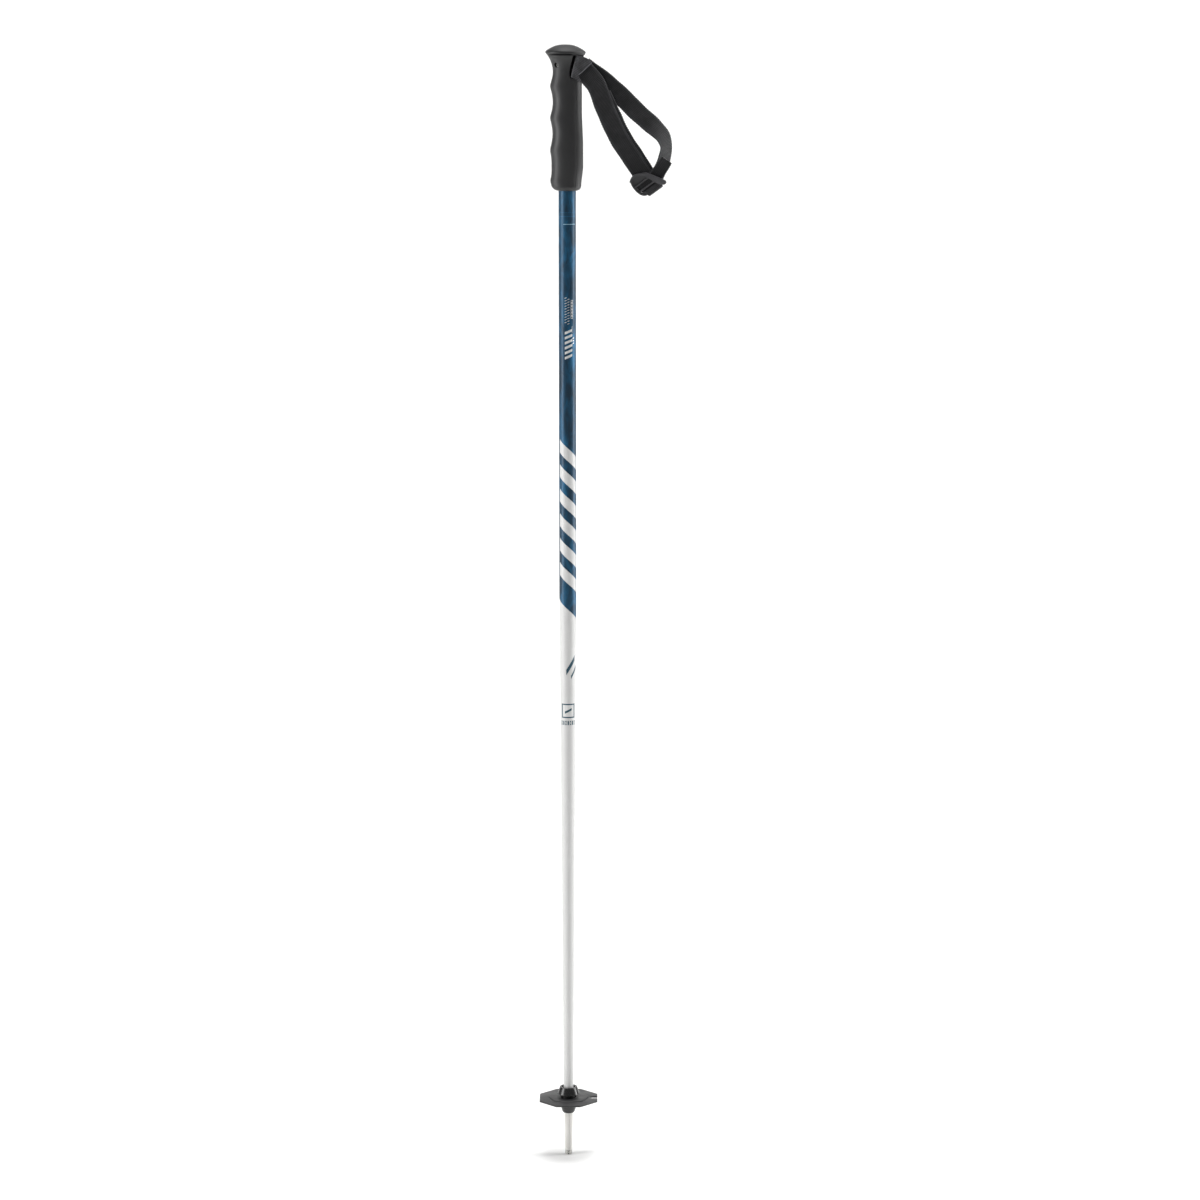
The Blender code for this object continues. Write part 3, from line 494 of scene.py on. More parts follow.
# moulded grip: rings extruded up the handle, each with its own reach forwards, backwards and sideways
gripSet = {
    "sides": 96, "side": 0.0126, "square": 2.3, "neckDrop": 0.0260,
    "flareSide": 0.0044, "flareTop": poleTop - 0.0096, "palmSide": 0.0006, "footRound": 0.0045, "footReach": 0.0092,
    "footSteps": 7,
    # drop below the top and reach of the finger side, then of the palm side, all in mm
    "fingers": [(9.6, 18.2), (10.4, 17.45), (12, 16.4), (14, 15.35), (18, 13.9), (21, 13.2), (24.3, 12.98),
        (27.6, 13.14), (31, 13.95), (34.2, 14.8), (36.6, 15.45), (38.4, 15.5), (41, 14.85), (44, 14), (47.5, 13.4),
        (51, 13.12), (54, 13.16), (57.1, 13.6), (60.4, 14.25), (63.6, 15.05), (66, 15.6), (67.8, 15.5),
        (70.5, 14.75), (73.5, 14.15), (77, 13.55), (80.5, 13.38), (83.5, 13.45), (86.5, 13.85), (90, 14.45),
        (93, 15.3), (95.6, 15.65), (97.8, 15.4), (100, 14.95), (103, 14.6), (106.5, 14.4), (112.5, 14.37),
        (116, 14.42), (119.3, 14.75), (121.5, 15.35), (123.3, 15.58), (125.8, 15.1), (129, 14.2), (132.2, 13.6)],
    "palm": [(9.6, 16.2), (10.4, 15.65), (12, 14.95), (14, 14.4), (18, 13.8), (24, 13.6), (63, 13.62), (72, 13.95),
        (80, 14.36), (87, 14.68), (112, 14.7), (116, 14.2), (119.3, 13.8), (122.6, 13.35), (126, 13), (132.2, 12.8)],
    "bodyTop": poleTop - 0.00963, "bore": 0.0083, "boreTop": 1.0124, "ringStep": 0.0016,
    "notch": [(0.0060, 0.001), (0.0055, -0.0100), (0.0031, -0.0200), (0.0022, -0.0255), (0.0023, -0.0285),
        (0.0034, -0.0305), (0.0060, -0.0315), (0.0300, -0.0315), (0.0300, 0.001)], "notchFarY": 0.0045,
    "crease": {"column": 15, "low": 0.0020, "high": 1.0160, "width": 0.00035, "depth": 0.00013},
    "screw": {
        "start": (-0.0098, -0.0101, poleTop - 0.0184), "angle": 0.745, "hole": 0.0023, "head": 0.0019,
        "headDeep": 0.0018, "recess": 0.0014, "deep": 0.0045, "edge": 0.00025,
        "cross": [(0.0014, 0.0005, 0.0024), (0.0014, 0.0024, 0.0005)]},
}


def smoothReach(stations):
    drops = np.arange(9.0, 134.0, 0.2)
    values = np.interp(drops, [s[0] for s in stations], [s[1] for s in stations])
    padded = np.pad(values, 6, mode="edge")
    return drops, np.convolve(padded, np.ones(13) / 13, "valid")


fingerLine, palmLine = smoothReach(gripSet["fingers"]), smoothReach(gripSet["palm"])


def gripReach(z):
    facts = gripSet
    drop = (poleTop - z) * 1000
    front, rear = (float(np.interp(drop, *line)) / 1000 for line in (fingerLine, palmLine))
    neck = poleTop - facts["neckDrop"]
    if z > neck:
        side = facts["side"] + facts["flareSide"] * ((z - neck) / (facts["flareTop"] - neck)) ** 2.6
    else:
        side = facts["side"] + facts["palmSide"] * sin(pi * (z - gripFoot) / (neck - gripFoot)) ** 2
    foot = min(1.0, (z - gripFoot) / facts["footRound"])
    shrink = sqrt(1 - (1 - foot) ** 2)
    least = facts["footReach"]
    return [least + (reach - least) * shrink for reach in (front, rear, side)]


def squareShare(turn, square):
    # how far a squared-up oval reaches beyond a plain one
    return (cos(turn) ** square + sin(turn) ** square) ** (-1 / square)


def stackOvals(name, levels, reachAt, sides, square):
    # a ring at the lowest level, squared up a little, then extruded and resized from level to level
    startAlone()
    front, rear, side = reachAt(levels[0])
    middle = (rear - front) / 2
    bpy.ops.mesh.primitive_circle_add(vertices=sides, radius=1, location=(middle, 0, levels[0]))
    piece = named(name)
    piece.scale = ((front + rear) / 2, side, 1)
    bpy.ops.object.transform_apply()
    bpy.ops.object.mode_set(mode="EDIT")
    half, wide = (front + rear) / 2, side
    for spoke in range(1, sides // 4):
        turn = 2 * pi * spoke / sides
        share = squareShare(turn, square)
        spokeX, spokeY = half * cos(turn), wide * sin(turn)
        choose(piece, "VERT", lambda v: abs(abs(v.co.x - middle) - spokeX) < 1e-6
               and abs(abs(v.co.y) - spokeY) < 1e-6)
        bpy.ops.transform.resize(value=(share, share, 1), center_override=(middle, 0, levels[0]))
    chooseAll()
    bpy.ops.mesh.edge_face_add()
    for before, level in zip(levels, levels[1:]):
        front, rear, side = reachAt(level)
        newMiddle, newHalf = (rear - front) / 2, (front + rear) / 2
        pushOut((newMiddle - middle, 0, level - before))
        bpy.ops.transform.resize(value=(newHalf / half, side / wide, 1), center_override=(newMiddle, 0, level))
        middle, half, wide = newMiddle, newHalf, side
    facesOut()
    return piece


def screwLine():
    screw = gripSet["screw"]
    return Vector(screw["start"]), Vector((cos(screw["angle"]), sin(screw["angle"]), 0))


def makeGrip():
    facts = gripSet
    steps = facts["footSteps"]
    foot = [gripFoot + facts["footRound"] * (1 - cos(pi / 2 * i / steps)) for i in range(steps)]
    count = int((facts["bodyTop"] - foot[0] - facts["footRound"]) / facts["ringStep"])
    rest = list(np.linspace(gripFoot + facts["footRound"], facts["bodyTop"], count))
    grip = stackOvals("gripBody", foot + rest, gripReach, facts["sides"], facts["square"])
    crease = facts["crease"]
    turn = 2 * pi * crease["column"] / facts["sides"]
    share = squareShare(turn, facts["square"])

    def onCrease(edge):
        low, high = sorted(v.co.z for v in edge.verts)
        if high - low < 0.0002 or low < gripFoot + crease["low"] or high > crease["high"]:
            return False
        for v in edge.verts:
            front, rear, side = gripReach(v.co.z)
            x = (rear - front) / 2 + (front + rear) / 2 * cos(turn) * share
            if abs(v.co.x - x) > 0.0001 or abs(abs(v.co.y) - side * sin(turn) * share) > 0.0001:
                return False
        return True

    choose(grip, "EDGE", onCrease)
    bpy.ops.mesh.bevel(offset=crease["width"], segments=2, affect="EDGES")
    bpy.ops.mesh.select_mode(type="VERT")
    bpy.ops.mesh.select_less()
    bpy.ops.transform.shrink_fatten(value=-crease["depth"])
    leaveEditing()

    cutBy(grip, placedCylinder("bore", facts["bore"], (0, 0, gripFoot - 0.01), (0, 0, facts["boreTop"]), 96))
    cutBy(grip, uprightPlate("notch", [(x, poleTop + z) for x, z in facts["notch"]], -0.03, facts["notchFarY"]))
    start, along = screwLine()
    outside, deep = start - along * 0.006, start + along * facts["screw"]["deep"]
    cutBy(grip, placedCylinder("screwHole", facts["screw"]["hole"], outside, deep))
    return settle(grip, softTouchElastomer, ["grip_body"], "pole", 38)


def makeScrew():
    # countersunk head with a cross recess, sunk in its hole
    screw = gripSet["screw"]
    start, along = screwLine()
    neck = start + along * screw["recess"]
    piece = placedCylinder("strapScrew", screw["head"], neck, neck + along * screw["headDeep"])
    bpy.ops.object.transform_apply()
    roundEdges(piece, screw["edge"], 2, 40)
    for size in screw["cross"]:
        startAlone()
        bpy.ops.mesh.primitive_cube_add(size=1, location=neck, rotation=(0, 0, screw["angle"]), scale=size)
        cutBy(piece, named("recess"))
    return settle(piece, zincPlate, ["strap_screw"], "pole", 30)


makeGrip()
makeScrew()

# cap: thin rim and a low dome leaning slightly to the front
# drop below the top, reach to the front and to the rear, in mm
capSet = {
    "side": 0.0168, "sides": 96, "square": 2.15,
    "stations": [(9.6, 15.8, 14.2), (9.6, 17.95, 16), (9.3, 18.3, 16.25), (8.8, 18.6, 16.5), (8, 19.3, 16.8),
        (7.5, 19.65, 16.95), (7, 19.85, 17), (6.6, 19.85, 16.85), (6.2, 19.6, 16.4), (5.5, 19, 15.5),
        (4.7, 17.9, 14.4), (3.9, 16.6, 13.05), (3.1, 15.15, 11.65), (2.3, 13.5, 10), (1.7, 12.3, 8.6),
        (1.1, 10.7, 7), (0.6, 8.9, 5.2), (0.25, 6.9, 3.3), (0.05, 4.6, 1.1), (0.003, 3, -0.4)],
}


def makeCap():
    facts = capSet
    widest = max(front for drop, front, rear in facts["stations"])
    shapes = {}
    for i, (drop, front, rear) in enumerate(facts["stations"]):
        level = poleTop - drop / 1000 - (0.00001 if i == 0 else 0)
        shapes[level] = (front / 1000, rear / 1000, facts["side"] * front / widest)
    cap = stackOvals("gripCap", sorted(shapes), shapes.get, facts["sides"], facts["square"])
    leaveEditing()
    return settle(cap, satinPolypropylene, ["grip_cap"], "pole", 50)


makeCap()

# ferrule, crown and stub: profiles of (radius, height) in mm
tipSet = {
    "ferrule": [(2.6, 4.7), (3.2, 4.7), (3.5, 4.8), (3.6, 5.1), (3.66, 7.5), (3.66, 7.9), (3.76, 8.1), (4, 28),
        (4.267, 41.8), (4.267, 44.2), (4.667, 45), (4.667, 49.7), (3, 49.7), (3, 17.2), (2.6, 17)],
    "crown": [(1.4, 1.2), (2.2, 0.6), (3, 0.6), (3.25, 1), (3.25, 2.8), (3.1, 3), (3.1, 3.3), (3.25, 3.5),
        (3.25, 4.2), (3.1, 4.4), (2.3, 4.4), (2.3, 16), (1.4, 16)],
    "stub": [(0, 0), (0.9, 0), (1.1, 0.2), (1.1, 14), (0, 14)],
    "teeth": 6, "toothGap": (0.02, 0.0011, 0.0024), "toothLevel": 0.0006, "edge": 0.0001,
}


def makeTip():
    facts = tipSet
    ferrule = turnedPiece("tipFerrule", facts["ferrule"])
    settle(ferrule, whiteAcetal, ["tip_ferrule"], "pole", 30)
    crown = turnedPiece("tipCrown", facts["crown"])
    for i in range(facts["teeth"] // 2):  # one cut makes two gaps
        startAlone()
        bpy.ops.mesh.primitive_cube_add(
            size=1, location=(0, 0, facts["toothLevel"]), scale=facts["toothGap"],
            rotation=(0, 0, 2 * pi * (i + 0.5) / facts["teeth"]))
        cutBy(crown, named("toothGap"))
    roundEdges(crown, facts["edge"], 2, 50)
    settle(crown, brightSteel, ["tip_crown"], "pole", 30)
    settle(turnedPiece("tipStub", facts["stub"], 48), sinteredCarbide, ["tip_stub"], "pole", 30)


makeTip()

# basket: octagonal disc with a raised inner octagon, held in the groove of a turned hub
basketSet = {
    "flat": 0.0275, "low": 0.0547, "high": 0.0563, "step": 0.0009, "stepShare": 0.698, "sunk": 0.0008,
    "slotWide": 0.0057, "slotEnd": 0.0200, "slotPast": 0.040, "closing": 0.0005, "bore": 0.00717,
    "cutters": (0.050, 0.062), "edge": 0.00035,
}
# (radius, height) in mm: collar above the disc, groove, rounded hub below, bore
hubProfile = [
    (6, 66.6), (6.22, 67.1), (6.6, 67.2), (7.8, 67.2), (8.12, 67.1), (8.3, 66.8), (10.35, 61), (10.47, 60.6),
    (10.4, 60.3), (10.1, 60.2), (6.9, 60.2), (6.87, 54.4), (7.4, 54.4), (7.7, 54.1), (7.77, 53.5), (7.77, 51.2),
    (7.6, 49.6), (7.22, 47), (6.55, 44.6), (6, 43), (5.4, 42.1), (5, 41.8), (4.7, 41.9), (4.567, 42.2),
    (4.567, 43.9), (4.967, 44.3), (4.967, 60.2), (6, 61.2)]


def makeDisc():
    facts = basketSet
    startAlone()
    bpy.ops.mesh.primitive_circle_add(
        vertices=8, radius=facts["flat"] / cos(pi / 8), fill_type="NGON", location=(0, 0, facts["low"]),
        rotation=(0, 0, pi / 8))
    disc = named("basketDisc")
    bpy.ops.object.transform_apply()
    bpy.ops.object.mode_set(mode="EDIT")
    chooseAll()
    pushOut((0, 0, facts["high"] - facts["low"]))
    facesOut()
    leaveEditing()
    # the raised centre is a smaller octagon whose corners point at the flats
    startAlone()
    bpy.ops.mesh.primitive_cylinder_add(
        vertices=8, radius=facts["flat"] * facts["stepShare"], depth=facts["step"] + facts["sunk"],
        location=(0, 0, facts["high"] + (facts["step"] - facts["sunk"]) / 2), rotation=(0, 0, pi / 2))
    cutBy(disc, named("raised"), "UNION")
    # the slot narrows slightly towards the rim and ends in a half round
    half, end = facts["slotWide"] / 2, facts["slotEnd"]
    outline = [(facts["slotPast"], half - facts["closing"]), (end + half, half)]
    outline += [(end + half - half * sin(pi * i / 12), half * cos(pi * i / 12)) for i in range(1, 12)]
    outline += [(end + half, -half), (facts["slotPast"], facts["closing"] - half)]
    low, high = facts["cutters"]
    cutBy(disc, drawnPlate("slot", [(x, y, low) for x, y in outline], (0, 0, high - low)))
    cutBy(disc, placedCylinder("bore", facts["bore"], (0, 0, low), (0, 0, high), 96))
    roundEdges(disc, facts["edge"], 3, 40)
    return settle(disc, mattePolyethylene, ["basket_disc"], "basket", 30)


def makeHub():
    hub = turnedPiece("basketHub", hubProfile)
    return settle(hub, polishedNylon, ["basket_hub"], "basket", 30)


makeDisc()
makeHub()

# strap: 18 mm ribbed polyester webbing
strapSet = {
    "half": 0.0088, "thick": 0.0014, "row": 0.0011, "rowDepth": 0.00015, "stepsPerRow": 4, "acrossSteps": 26,
    # corded selvages: place from the middle outwards, half width, how far they stand up; the flat top's squareness
    "selvage": {"at": 0.90, "half": 0.05, "high": 0.00014, "sunk": 0.00004, "square": 10},
    # unevenness: scallops from row to row, slow change of width, slow turn in degrees
    "scallop": 0.00012, "swell": 0.0001, "wander": 1.2,
    "layerY": (-10.95, -9.15, -7.35), "foldX": 0.01735, "foldDrop": 0.02155, "foldTurn": 0.745,
    "foldY": -0.0120, "blendReach": 0.0022, "tailHalf": 0.0060, "tailFray": 0.0004,
}
# stations in mm: distance from the tube's axis, drop below the top, Y, half width;
# then how far the outer edge leans back, in degrees
frontY, innerY, backY = strapSet["layerY"]
frontLimb = [
    (10.8, 16.8, frontY, 8.4, 0), (16.2, 23.6, frontY, 9, 0), (21.8, 30.2, frontY, 9.2, 0),
    (27.4, 38.1, frontY, 8.8, 0), (35.1, 58.5, frontY - 0.3, 8.8, 3), (46.5, 83.1, frontY, 8.8, 3),
    (59, 102.2, frontY + 0.5, 8.8, 1), (65.4, 111.8, frontY + 1.3, 8.8, 0), (71.6, 121.2, frontY + 1.7, 8.6, 0)]
innerLayer = [
    (31.8, 44, innerY, 8, 0), (37.4, 57.5, innerY, 8.8, 2), (49, 81.9, innerY - 0.2, 8.8, 3),
    (62, 102, innerY + 0.5, 8.8, 0), (68.4, 112, innerY + 1.3, 8.8, 0), (73.2, 120, innerY + 1.7, 8.4, 0)]
backLimb = [
    (15, 18.6, backY, 8.2, 0), (21, 23.6, backY, 8.4, 0), (28.1, 28.3, backY, 8.5, 0), (38, 36.2, backY, 8.5, 0),
    (51.3, 48.2, backY + 0.4, 8.6, 5), (63.6, 60.5, backY + 1.2, 8.8, 14), (75, 70.6, backY + 2.2, 8.8, 19),
    (81.8, 76.8, backY + 3.4, 8.8, 29), (87.5, 83.1, backY + 4.4, 8.8, 39), (90.5, 92.4, backY + 4.8, 8.8, 52),
    (89, 102.5, backY + 4.2, 8.8, 49), (86.3, 110.4, backY + 3.2, 8.8, 43), (82.5, 117, backY + 1.8, 8.6, 36),
    (78.5, 122.5, backY + 1.4, 8.4, 20)]
# its narrow start stays inside the buckle when the end is drawn out
tail = [(73.8, 127.9, frontY, 3.6, 0), (77.5, 122.8, frontY, 4.4, 0), (81.2, 118.2, frontY, 6, 0),
        (86.2, 111, frontY, 6, 0), (90.8, 104, frontY, 5.6, 0)]


def smoothLine(stations, spacing):
    # a smooth curve through the stations, taken at even steps along its length
    known = [np.array(s, float) for s in stations]
    known = [2 * known[0] - known[1], *known, 2 * known[-1] - known[-2]]
    fine = []
    for a, b, c, d in zip(known, known[1:], known[2:], known[3:]):
        for t in np.arange(24) / 24:
            fine.append(0.5 * (2 * b + (c - a) * t + (2 * a - 5 * b + 4 * c - d) * t ** 2
                    + (3 * b - a - 3 * c + d) * t ** 3))
    fine.append(known[-2])
    fine = np.array(fine)
    run = np.concatenate([[0], np.cumsum(np.linalg.norm(np.diff(fine[:, :3], axis=0), axis=1))])
    even = np.linspace(0, run[-1], max(3, int(run[-1] / spacing)))
    return even, np.stack([np.interp(even, run, fine[:, k]) for k in range(fine.shape[1])], 1)


def meshPiece(name, mesh):
    # an object from a bmesh, faces outwards
    bmesh.ops.recalc_face_normals(mesh, faces=mesh.faces)
    startAlone()
    piece = bpy.data.objects.new(name, bpy.data.meshes.new(name))
    mesh.to_mesh(piece.data)
    mesh.free()
    bpy.context.scene.collection.objects.link(piece)
    return piece


def bandPiece(name, rings, maps):
    # rings of points joined into a closed band; maps holds each point's place on the webbing
    mesh = bmesh.new()
    uv = mesh.loops.layers.uv.new("strapMap")
    sides = len(rings[0])
    verts = [[mesh.verts.new(place) for place in ring] for ring in rings]
    maps = [spots + spots[:1] if len(spots) == sides else spots for spots in maps]

    def addFace(corners):
        made = mesh.faces.new([verts[i][k % sides] for i, k in corners])
        for loop, (i, k) in zip(made.loops, corners):
            loop[uv].uv = maps[i][k]

    for i in range(len(rings) - 1):
        for k in range(sides):
            addFace([(i, k), (i, k + 1), (i + 1, k + 1), (i + 1, k)])
    addFace([(0, k) for k in range(sides - 1, -1, -1)])
    addFace([(len(rings) - 1, k) for k in range(sides)])
    return meshPiece(name, mesh)


def weaveStrap(name, stations, sway=0.0002, fray=0.0):
    # a closed band of webbing: raised rows across it, thicker corded selvages, its own map in metres
    facts, edge = strapSet, strapSet["selvage"]
    stations = [(*[size / 1000 for size in station[:4]], station[4]) for station in stations]
    run, line = smoothLine(stations, facts["row"] / facts["stepsPerRow"])
    places = [Vector((x, y, poleTop - drop)) for x, drop, y, half, lean in line]
    around = facts["acrossSteps"]
    rings, maps = [], []
    for i, (x, drop, y, half, lean) in enumerate(line):
        along = places[min(i + 1, len(places) - 1)] - places[max(i - 1, 0)]
        outer = Vector((-along.z, 0, along.x)).normalized()
        tilt = radians(lean + facts["wander"] * sin(run[i] * 210))
        across = outer * cos(tilt) + Vector((0, 1, 0)) * sin(tilt)
        facing = outer * sin(tilt) - Vector((0, 1, 0)) * cos(tilt)
        rowWave = cos(2 * pi * run[i] / facts["row"])
        width = half + facts["scallop"] * sin(pi * run[i] / facts["row"]) + facts["swell"] * sin(run[i] * 330)
        middle = places[i] + facing * sway * sin(run[i] * 95)
        ring, spots = [], []
        for k in range(2 * around):
            share = -cos(pi * k / around)
            face = 1 if k < around else -1
            depth = facts["thick"] / 2 * sqrt(max(0.0, 1 - abs(share) ** edge["square"]))
            depth += edge["high"] * exp(-((abs(share) - edge["at"]) / edge["half"]) ** 2) - edge["sunk"]
            depth += facts["rowDepth"] * rowWave * (1 - abs(share) ** 6)
            if k % around == 0:
                depth = 0
            ragged = fray * exp((run[i] - run[-1]) / 0.0012) * (sin(k * 2.7) + 0.6 * sin(k * 1.3) + 1.2 * share ** 3)
            ring.append(middle + across * width * share + facing * face * depth + along.normalized() * ragged)
            spots.append((share * width, run[i]))
        rings.append(ring)
        maps.append(spots)
    return bandPiece(name, rings, maps), float(run[-1])


def hangFromPole(piece):
    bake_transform(piece)


def makeStraps():
    facts = strapSet
    for name, stations, nodes, body in (
            ("strapFrontLimb", frontLimb, ["strap_front_limb"], None),
            ("strapInnerLayer", innerLayer, ["strap_inner_layer"], "strap_loop"),
            ("strapBackLimb", backLimb, ["strap_back_limb", "strap_bend"], None)):
        limb, length = weaveStrap(name, stations)
        settle(limb, ribbedPolyester, nodes, body, 60)
        if not body:
            hangFromPole(limb)
    end, length = weaveStrap("strapTail", tail, fray=facts["tailFray"])
    settle(end, ribbedPolyester, ["strap_tail"], "tail", 60)


makeStraps()
print("strap limbs woven")

# root of the strap: a flat panel beside the head that turns back into the notch
rootSet = {
    "nearY": -0.0138, "thick": 0.0014, "turn": 0.0016, "row": 0.00112, "rowDepth": 0.00011, "stepsPerRow": 4,
    "corners": [(0.0082, 0.0096), (0.0145, 0.0105), (0.0204, 0.0133), (0.0236, 0.0154), (0.0109, 0.0275),
        (0.0133, 0.0345), (0.0035, 0.0289)],
    "back": 0.0140, "rowAngle": 59.0, "centreIn": 0.004, "long": 0.062, "columns": 72, "columnStep": 0.0008,
    "flat": (0.0205, 0.0330), "area": 0.00053,
}


def makeRoot():
    facts = rootSet
    corners = [(x, poleTop - drop) for x, drop in facts["corners"]]
    top, bottom = Vector(corners[0]), Vector(corners[-1])
    upEdge = (top - bottom).normalized()
    inward = Vector((upEdge.y, -upEdge.x))  # from the turned edge into the panel
    rowTurn = radians(facts["rowAngle"])
    lateral = Vector((cos(rowTurn), -sin(rowTurn)))  # along the rows
    onward = Vector((-lateral.y, lateral.x))  # from row to row
    hidden = [tuple(bottom - inward * facts["back"]), tuple(top - inward * facts["back"])]
    outline = uprightPlate("rootOutline", corners + hidden, -0.004, 0.006)

    mesh = bmesh.new()
    step = facts["row"] / facts["stepsPerRow"]
    centre = (top + bottom) / 2 + inward * facts["centreIn"]
    rows, columns = int(facts["long"] / step), facts["columns"]
    layers = []
    for face, level in ((1, 0.0), (-1, facts["thick"])):
        grid = []
        for i in range(rows):
            ride = facts["rowDepth"] * cos(2 * pi * i / facts["stepsPerRow"])
            line = []
            for j in range(columns):
                place = centre + onward * (i - rows / 2) * step + lateral * (j - columns / 2) * facts["columnStep"]
                line.append(mesh.verts.new((place.x, level - face * ride + face * facts["rowDepth"], place.y)))
            grid.append(line)
        layers.append(grid)
    near, far = layers
    for i in range(rows - 1):
        for j in range(columns - 1):
            mesh.faces.new((near[i][j], near[i][j + 1], near[i + 1][j + 1], near[i + 1][j]))
            mesh.faces.new((far[i][j], far[i + 1][j], far[i + 1][j + 1], far[i][j + 1]))
    border = [(i, 0) for i in range(rows)] + [(rows - 1, j) for j in range(1, columns)]
    border += [(i, columns - 1) for i in range(rows - 2, -1, -1)] + [(0, j) for j in range(columns - 2, 0, -1)]
    for (a, b), (c, d) in zip(border, border[1:] + border[:1]):
        mesh.faces.new((near[a][b], near[c][d], far[c][d], far[a][b]))
    root = meshPiece("strapRoot", mesh)
    cutBy(root, outline, "INTERSECT")

    # its own map, then the part past the turned edge is wrapped back into the notch
    mesh = bmesh.new()
    mesh.from_mesh(root.data)
    uv = mesh.loops.layers.uv.new("strapMap")
    for face in mesh.faces:
        for loop in face.loops:
            flat = Vector((loop.vert.co.x, loop.vert.co.z)) - centre
            loop[uv].uv = (flat.dot(lateral), flat.dot(onward))
    radius = facts["turn"]
    for vert in mesh.verts:
        flat = Vector((vert.co.x, vert.co.z))
        deep = vert.co.y
        reach = (flat - bottom).dot(inward)
        rest = flat - inward * reach
        past = radius - reach
        if past <= 0:
            newReach, y = reach, deep
        elif past <= radius * pi / 2:
            turn = past / radius
            newReach, y = radius - (radius - deep) * sin(turn), radius - (radius - deep) * cos(turn)
        else:
            newReach, y = deep, radius + past - radius * pi / 2
        place = rest + inward * newReach
        vert.co = (place.x, facts["nearY"] + y, place.y)
    bmesh.ops.recalc_face_normals(mesh, faces=mesh.faces)
    mesh.to_mesh(root.data)
    mesh.free()
    settle(root, paintedHighlightRootPolyester, ["strap_root_fold"], None, 50)
    hangFromPole(root)


makeRoot()

# raised cord along the folded edge: two twisted plies of pale thread
hemSet = {
    "length": 0.0162, "radius": 0.00036, "ply": 0.0021, "y": -0.0143, "lift": 0.0004, "shift": -0.0003,
    "sides": 16, "steps": 140,
}


def spunThread(name, facts):
    made, node, shader = newMaterial(name, {"Sheen Weight": 0.2, "IOR": 1.5, "Roughness": 0.75})
    place = node("UVMap", uv_map="strapMap")
    parts = node("SeparateXYZ", [place])
    twist = node("Math", [parts.outputs["Y"], 1000 * pi / facts["plyMm"]], "MULTIPLY")
    turned = node("Math", [parts.outputs["X"], 2 * pi, twist], "MULTIPLY_ADD")
    wave = node("Math", [turned], "SINE")
    shade = node("Math", [wave], "ABSOLUTE")
    # painted shade: the pale thread darkens to near black in the grooves between its plies
    colour = node("ValToRGB", [shade], ramp=[(0, facts["dark"]), (1, facts["light"])])
    bump = node("Bump", {"Height": shade, "Strength": 0.6, "Distance": 0.0001})
    feed(shader, {"Base Color": colour, "Normal": bump})
    return made


# bonded polyester thread: pale grey against the webbing, with painted shade between the plies
bondedThread = spunThread("bondedThread", {"plyMm": 0.9, "dark": "#1c1c1f", "light": "#6c6c71"})


def makeHem():
    facts = hemSet
    turn = strapSet["foldTurn"]
    along, lift = Vector((cos(turn), 0, sin(turn))), Vector((-sin(turn), 0, cos(turn)))
    middle = Vector((strapSet["foldX"], facts["y"], poleTop - strapSet["foldDrop"]))
    middle += lift * facts["lift"] + along * facts["shift"]
    sides, last = facts["sides"], facts["steps"] - 1
    rings, maps = [], []
    for i in range(facts["steps"]):
        run = facts["length"] * (i / last - 0.5)
        taper = sqrt(max(0.05, 1 - abs(2 * run / facts["length"]) ** 24))
        ring = []
        for k in range(sides):
            spoke = 2 * pi * k / sides
            reach = facts["radius"] * taper * (0.86 + 0.22 * abs(cos(spoke - pi * run / facts["ply"] * 2)))
            ring.append(middle + along * run + (lift * cos(spoke) + Vector((0, 1, 0)) * sin(spoke)) * reach)
        rings.append(ring)
        maps.append([(k / sides, facts["length"] * i / last) for k in range(sides + 1)])
    settle(bandPiece("strapStitching", rings, maps), bondedThread, ["strap_stitching"], "pole", 60)


makeHem()

# ladder buckle: a frame with a raised lip along its upper edge and two round bars
# in mm: outlines along and across the bars, bars (across, low, high), lip (x, z)
buckleSet = {
    "centre": (0.0733, poleTop - 0.1237), "turn": 0.6283, "nearY": -0.0160, "farY": -0.0122,
    "outline": [(-12.3, -10.6), (-9.5, -12), (-7, -12.5), (-1.3, -10.4), (3.7, -8.4), (13.6, 7.2), (14.2, 8.6),
        (13.2, 9.6), (11, 9.9), (-6.4, 9.9), (-9.9, 8.6), (-12.5, 5.3), (-13.9, 0), (-13.9, -6)],
    "recess": [(-10.8, -9.4), (-7, -10.8), (-1.3, -8.8), (3, -6.8), (11.8, 6.2), (12, 8.6), (-6.4, 8.9), (-9, 7.8),
        (-11.4, 4.8), (-12.7, 0), (-12.6, -5.6)],
    "recessY": -0.0141,
    "window": [(-10.6, -4), (3, -4), (9.8, 5.4), (9.6, 8), (-6.2, 8), (-8.8, 6.4), (-11, 2)],
    "bars": [(-2.9, -12.8, 4.6), (3.1, -12, 9)], "barRadius": 0.00080, "barDeep": 0.0003,
    "lip": [(56.9, 927.2), (58.1, 930), (60.2, 932.4), (63.2, 933.6), (66.3, 933.9), (69.2, 933.9), (70.5, 934.5),
        (71.7, 935), (74.4, 934.1), (82.2, 931), (89.3, 928), (90.3, 927.1), (90.4, 925.9), (89.6, 924.7),
        (88.4, 924.1), (86.2, 923.9), (83.6, 924.5), (80, 926.3), (76.1, 928.5), (73.5, 930.2), (71, 931.6),
        (68.2, 932.5), (65.5, 932.6), (63, 931.8), (60.4, 930.3), (58.5, 928.2), (57.7, 926.2), (57, 925)],
    "lipY": -0.0194, "lipSunk": 0.0008, "round": 0.00045,
}


def rounded(outline, times=2):
    # softens the corners of a closed outline by cutting each one
    for _ in range(times):
        softer = []
        for (ax, ay), (bx, by) in zip(outline, outline[1:] + outline[:1]):
            softer += [(ax * (1 - cut) + bx * cut, ay * (1 - cut) + by * cut) for cut in (0.22, 0.78)]
        outline = softer
    return outline


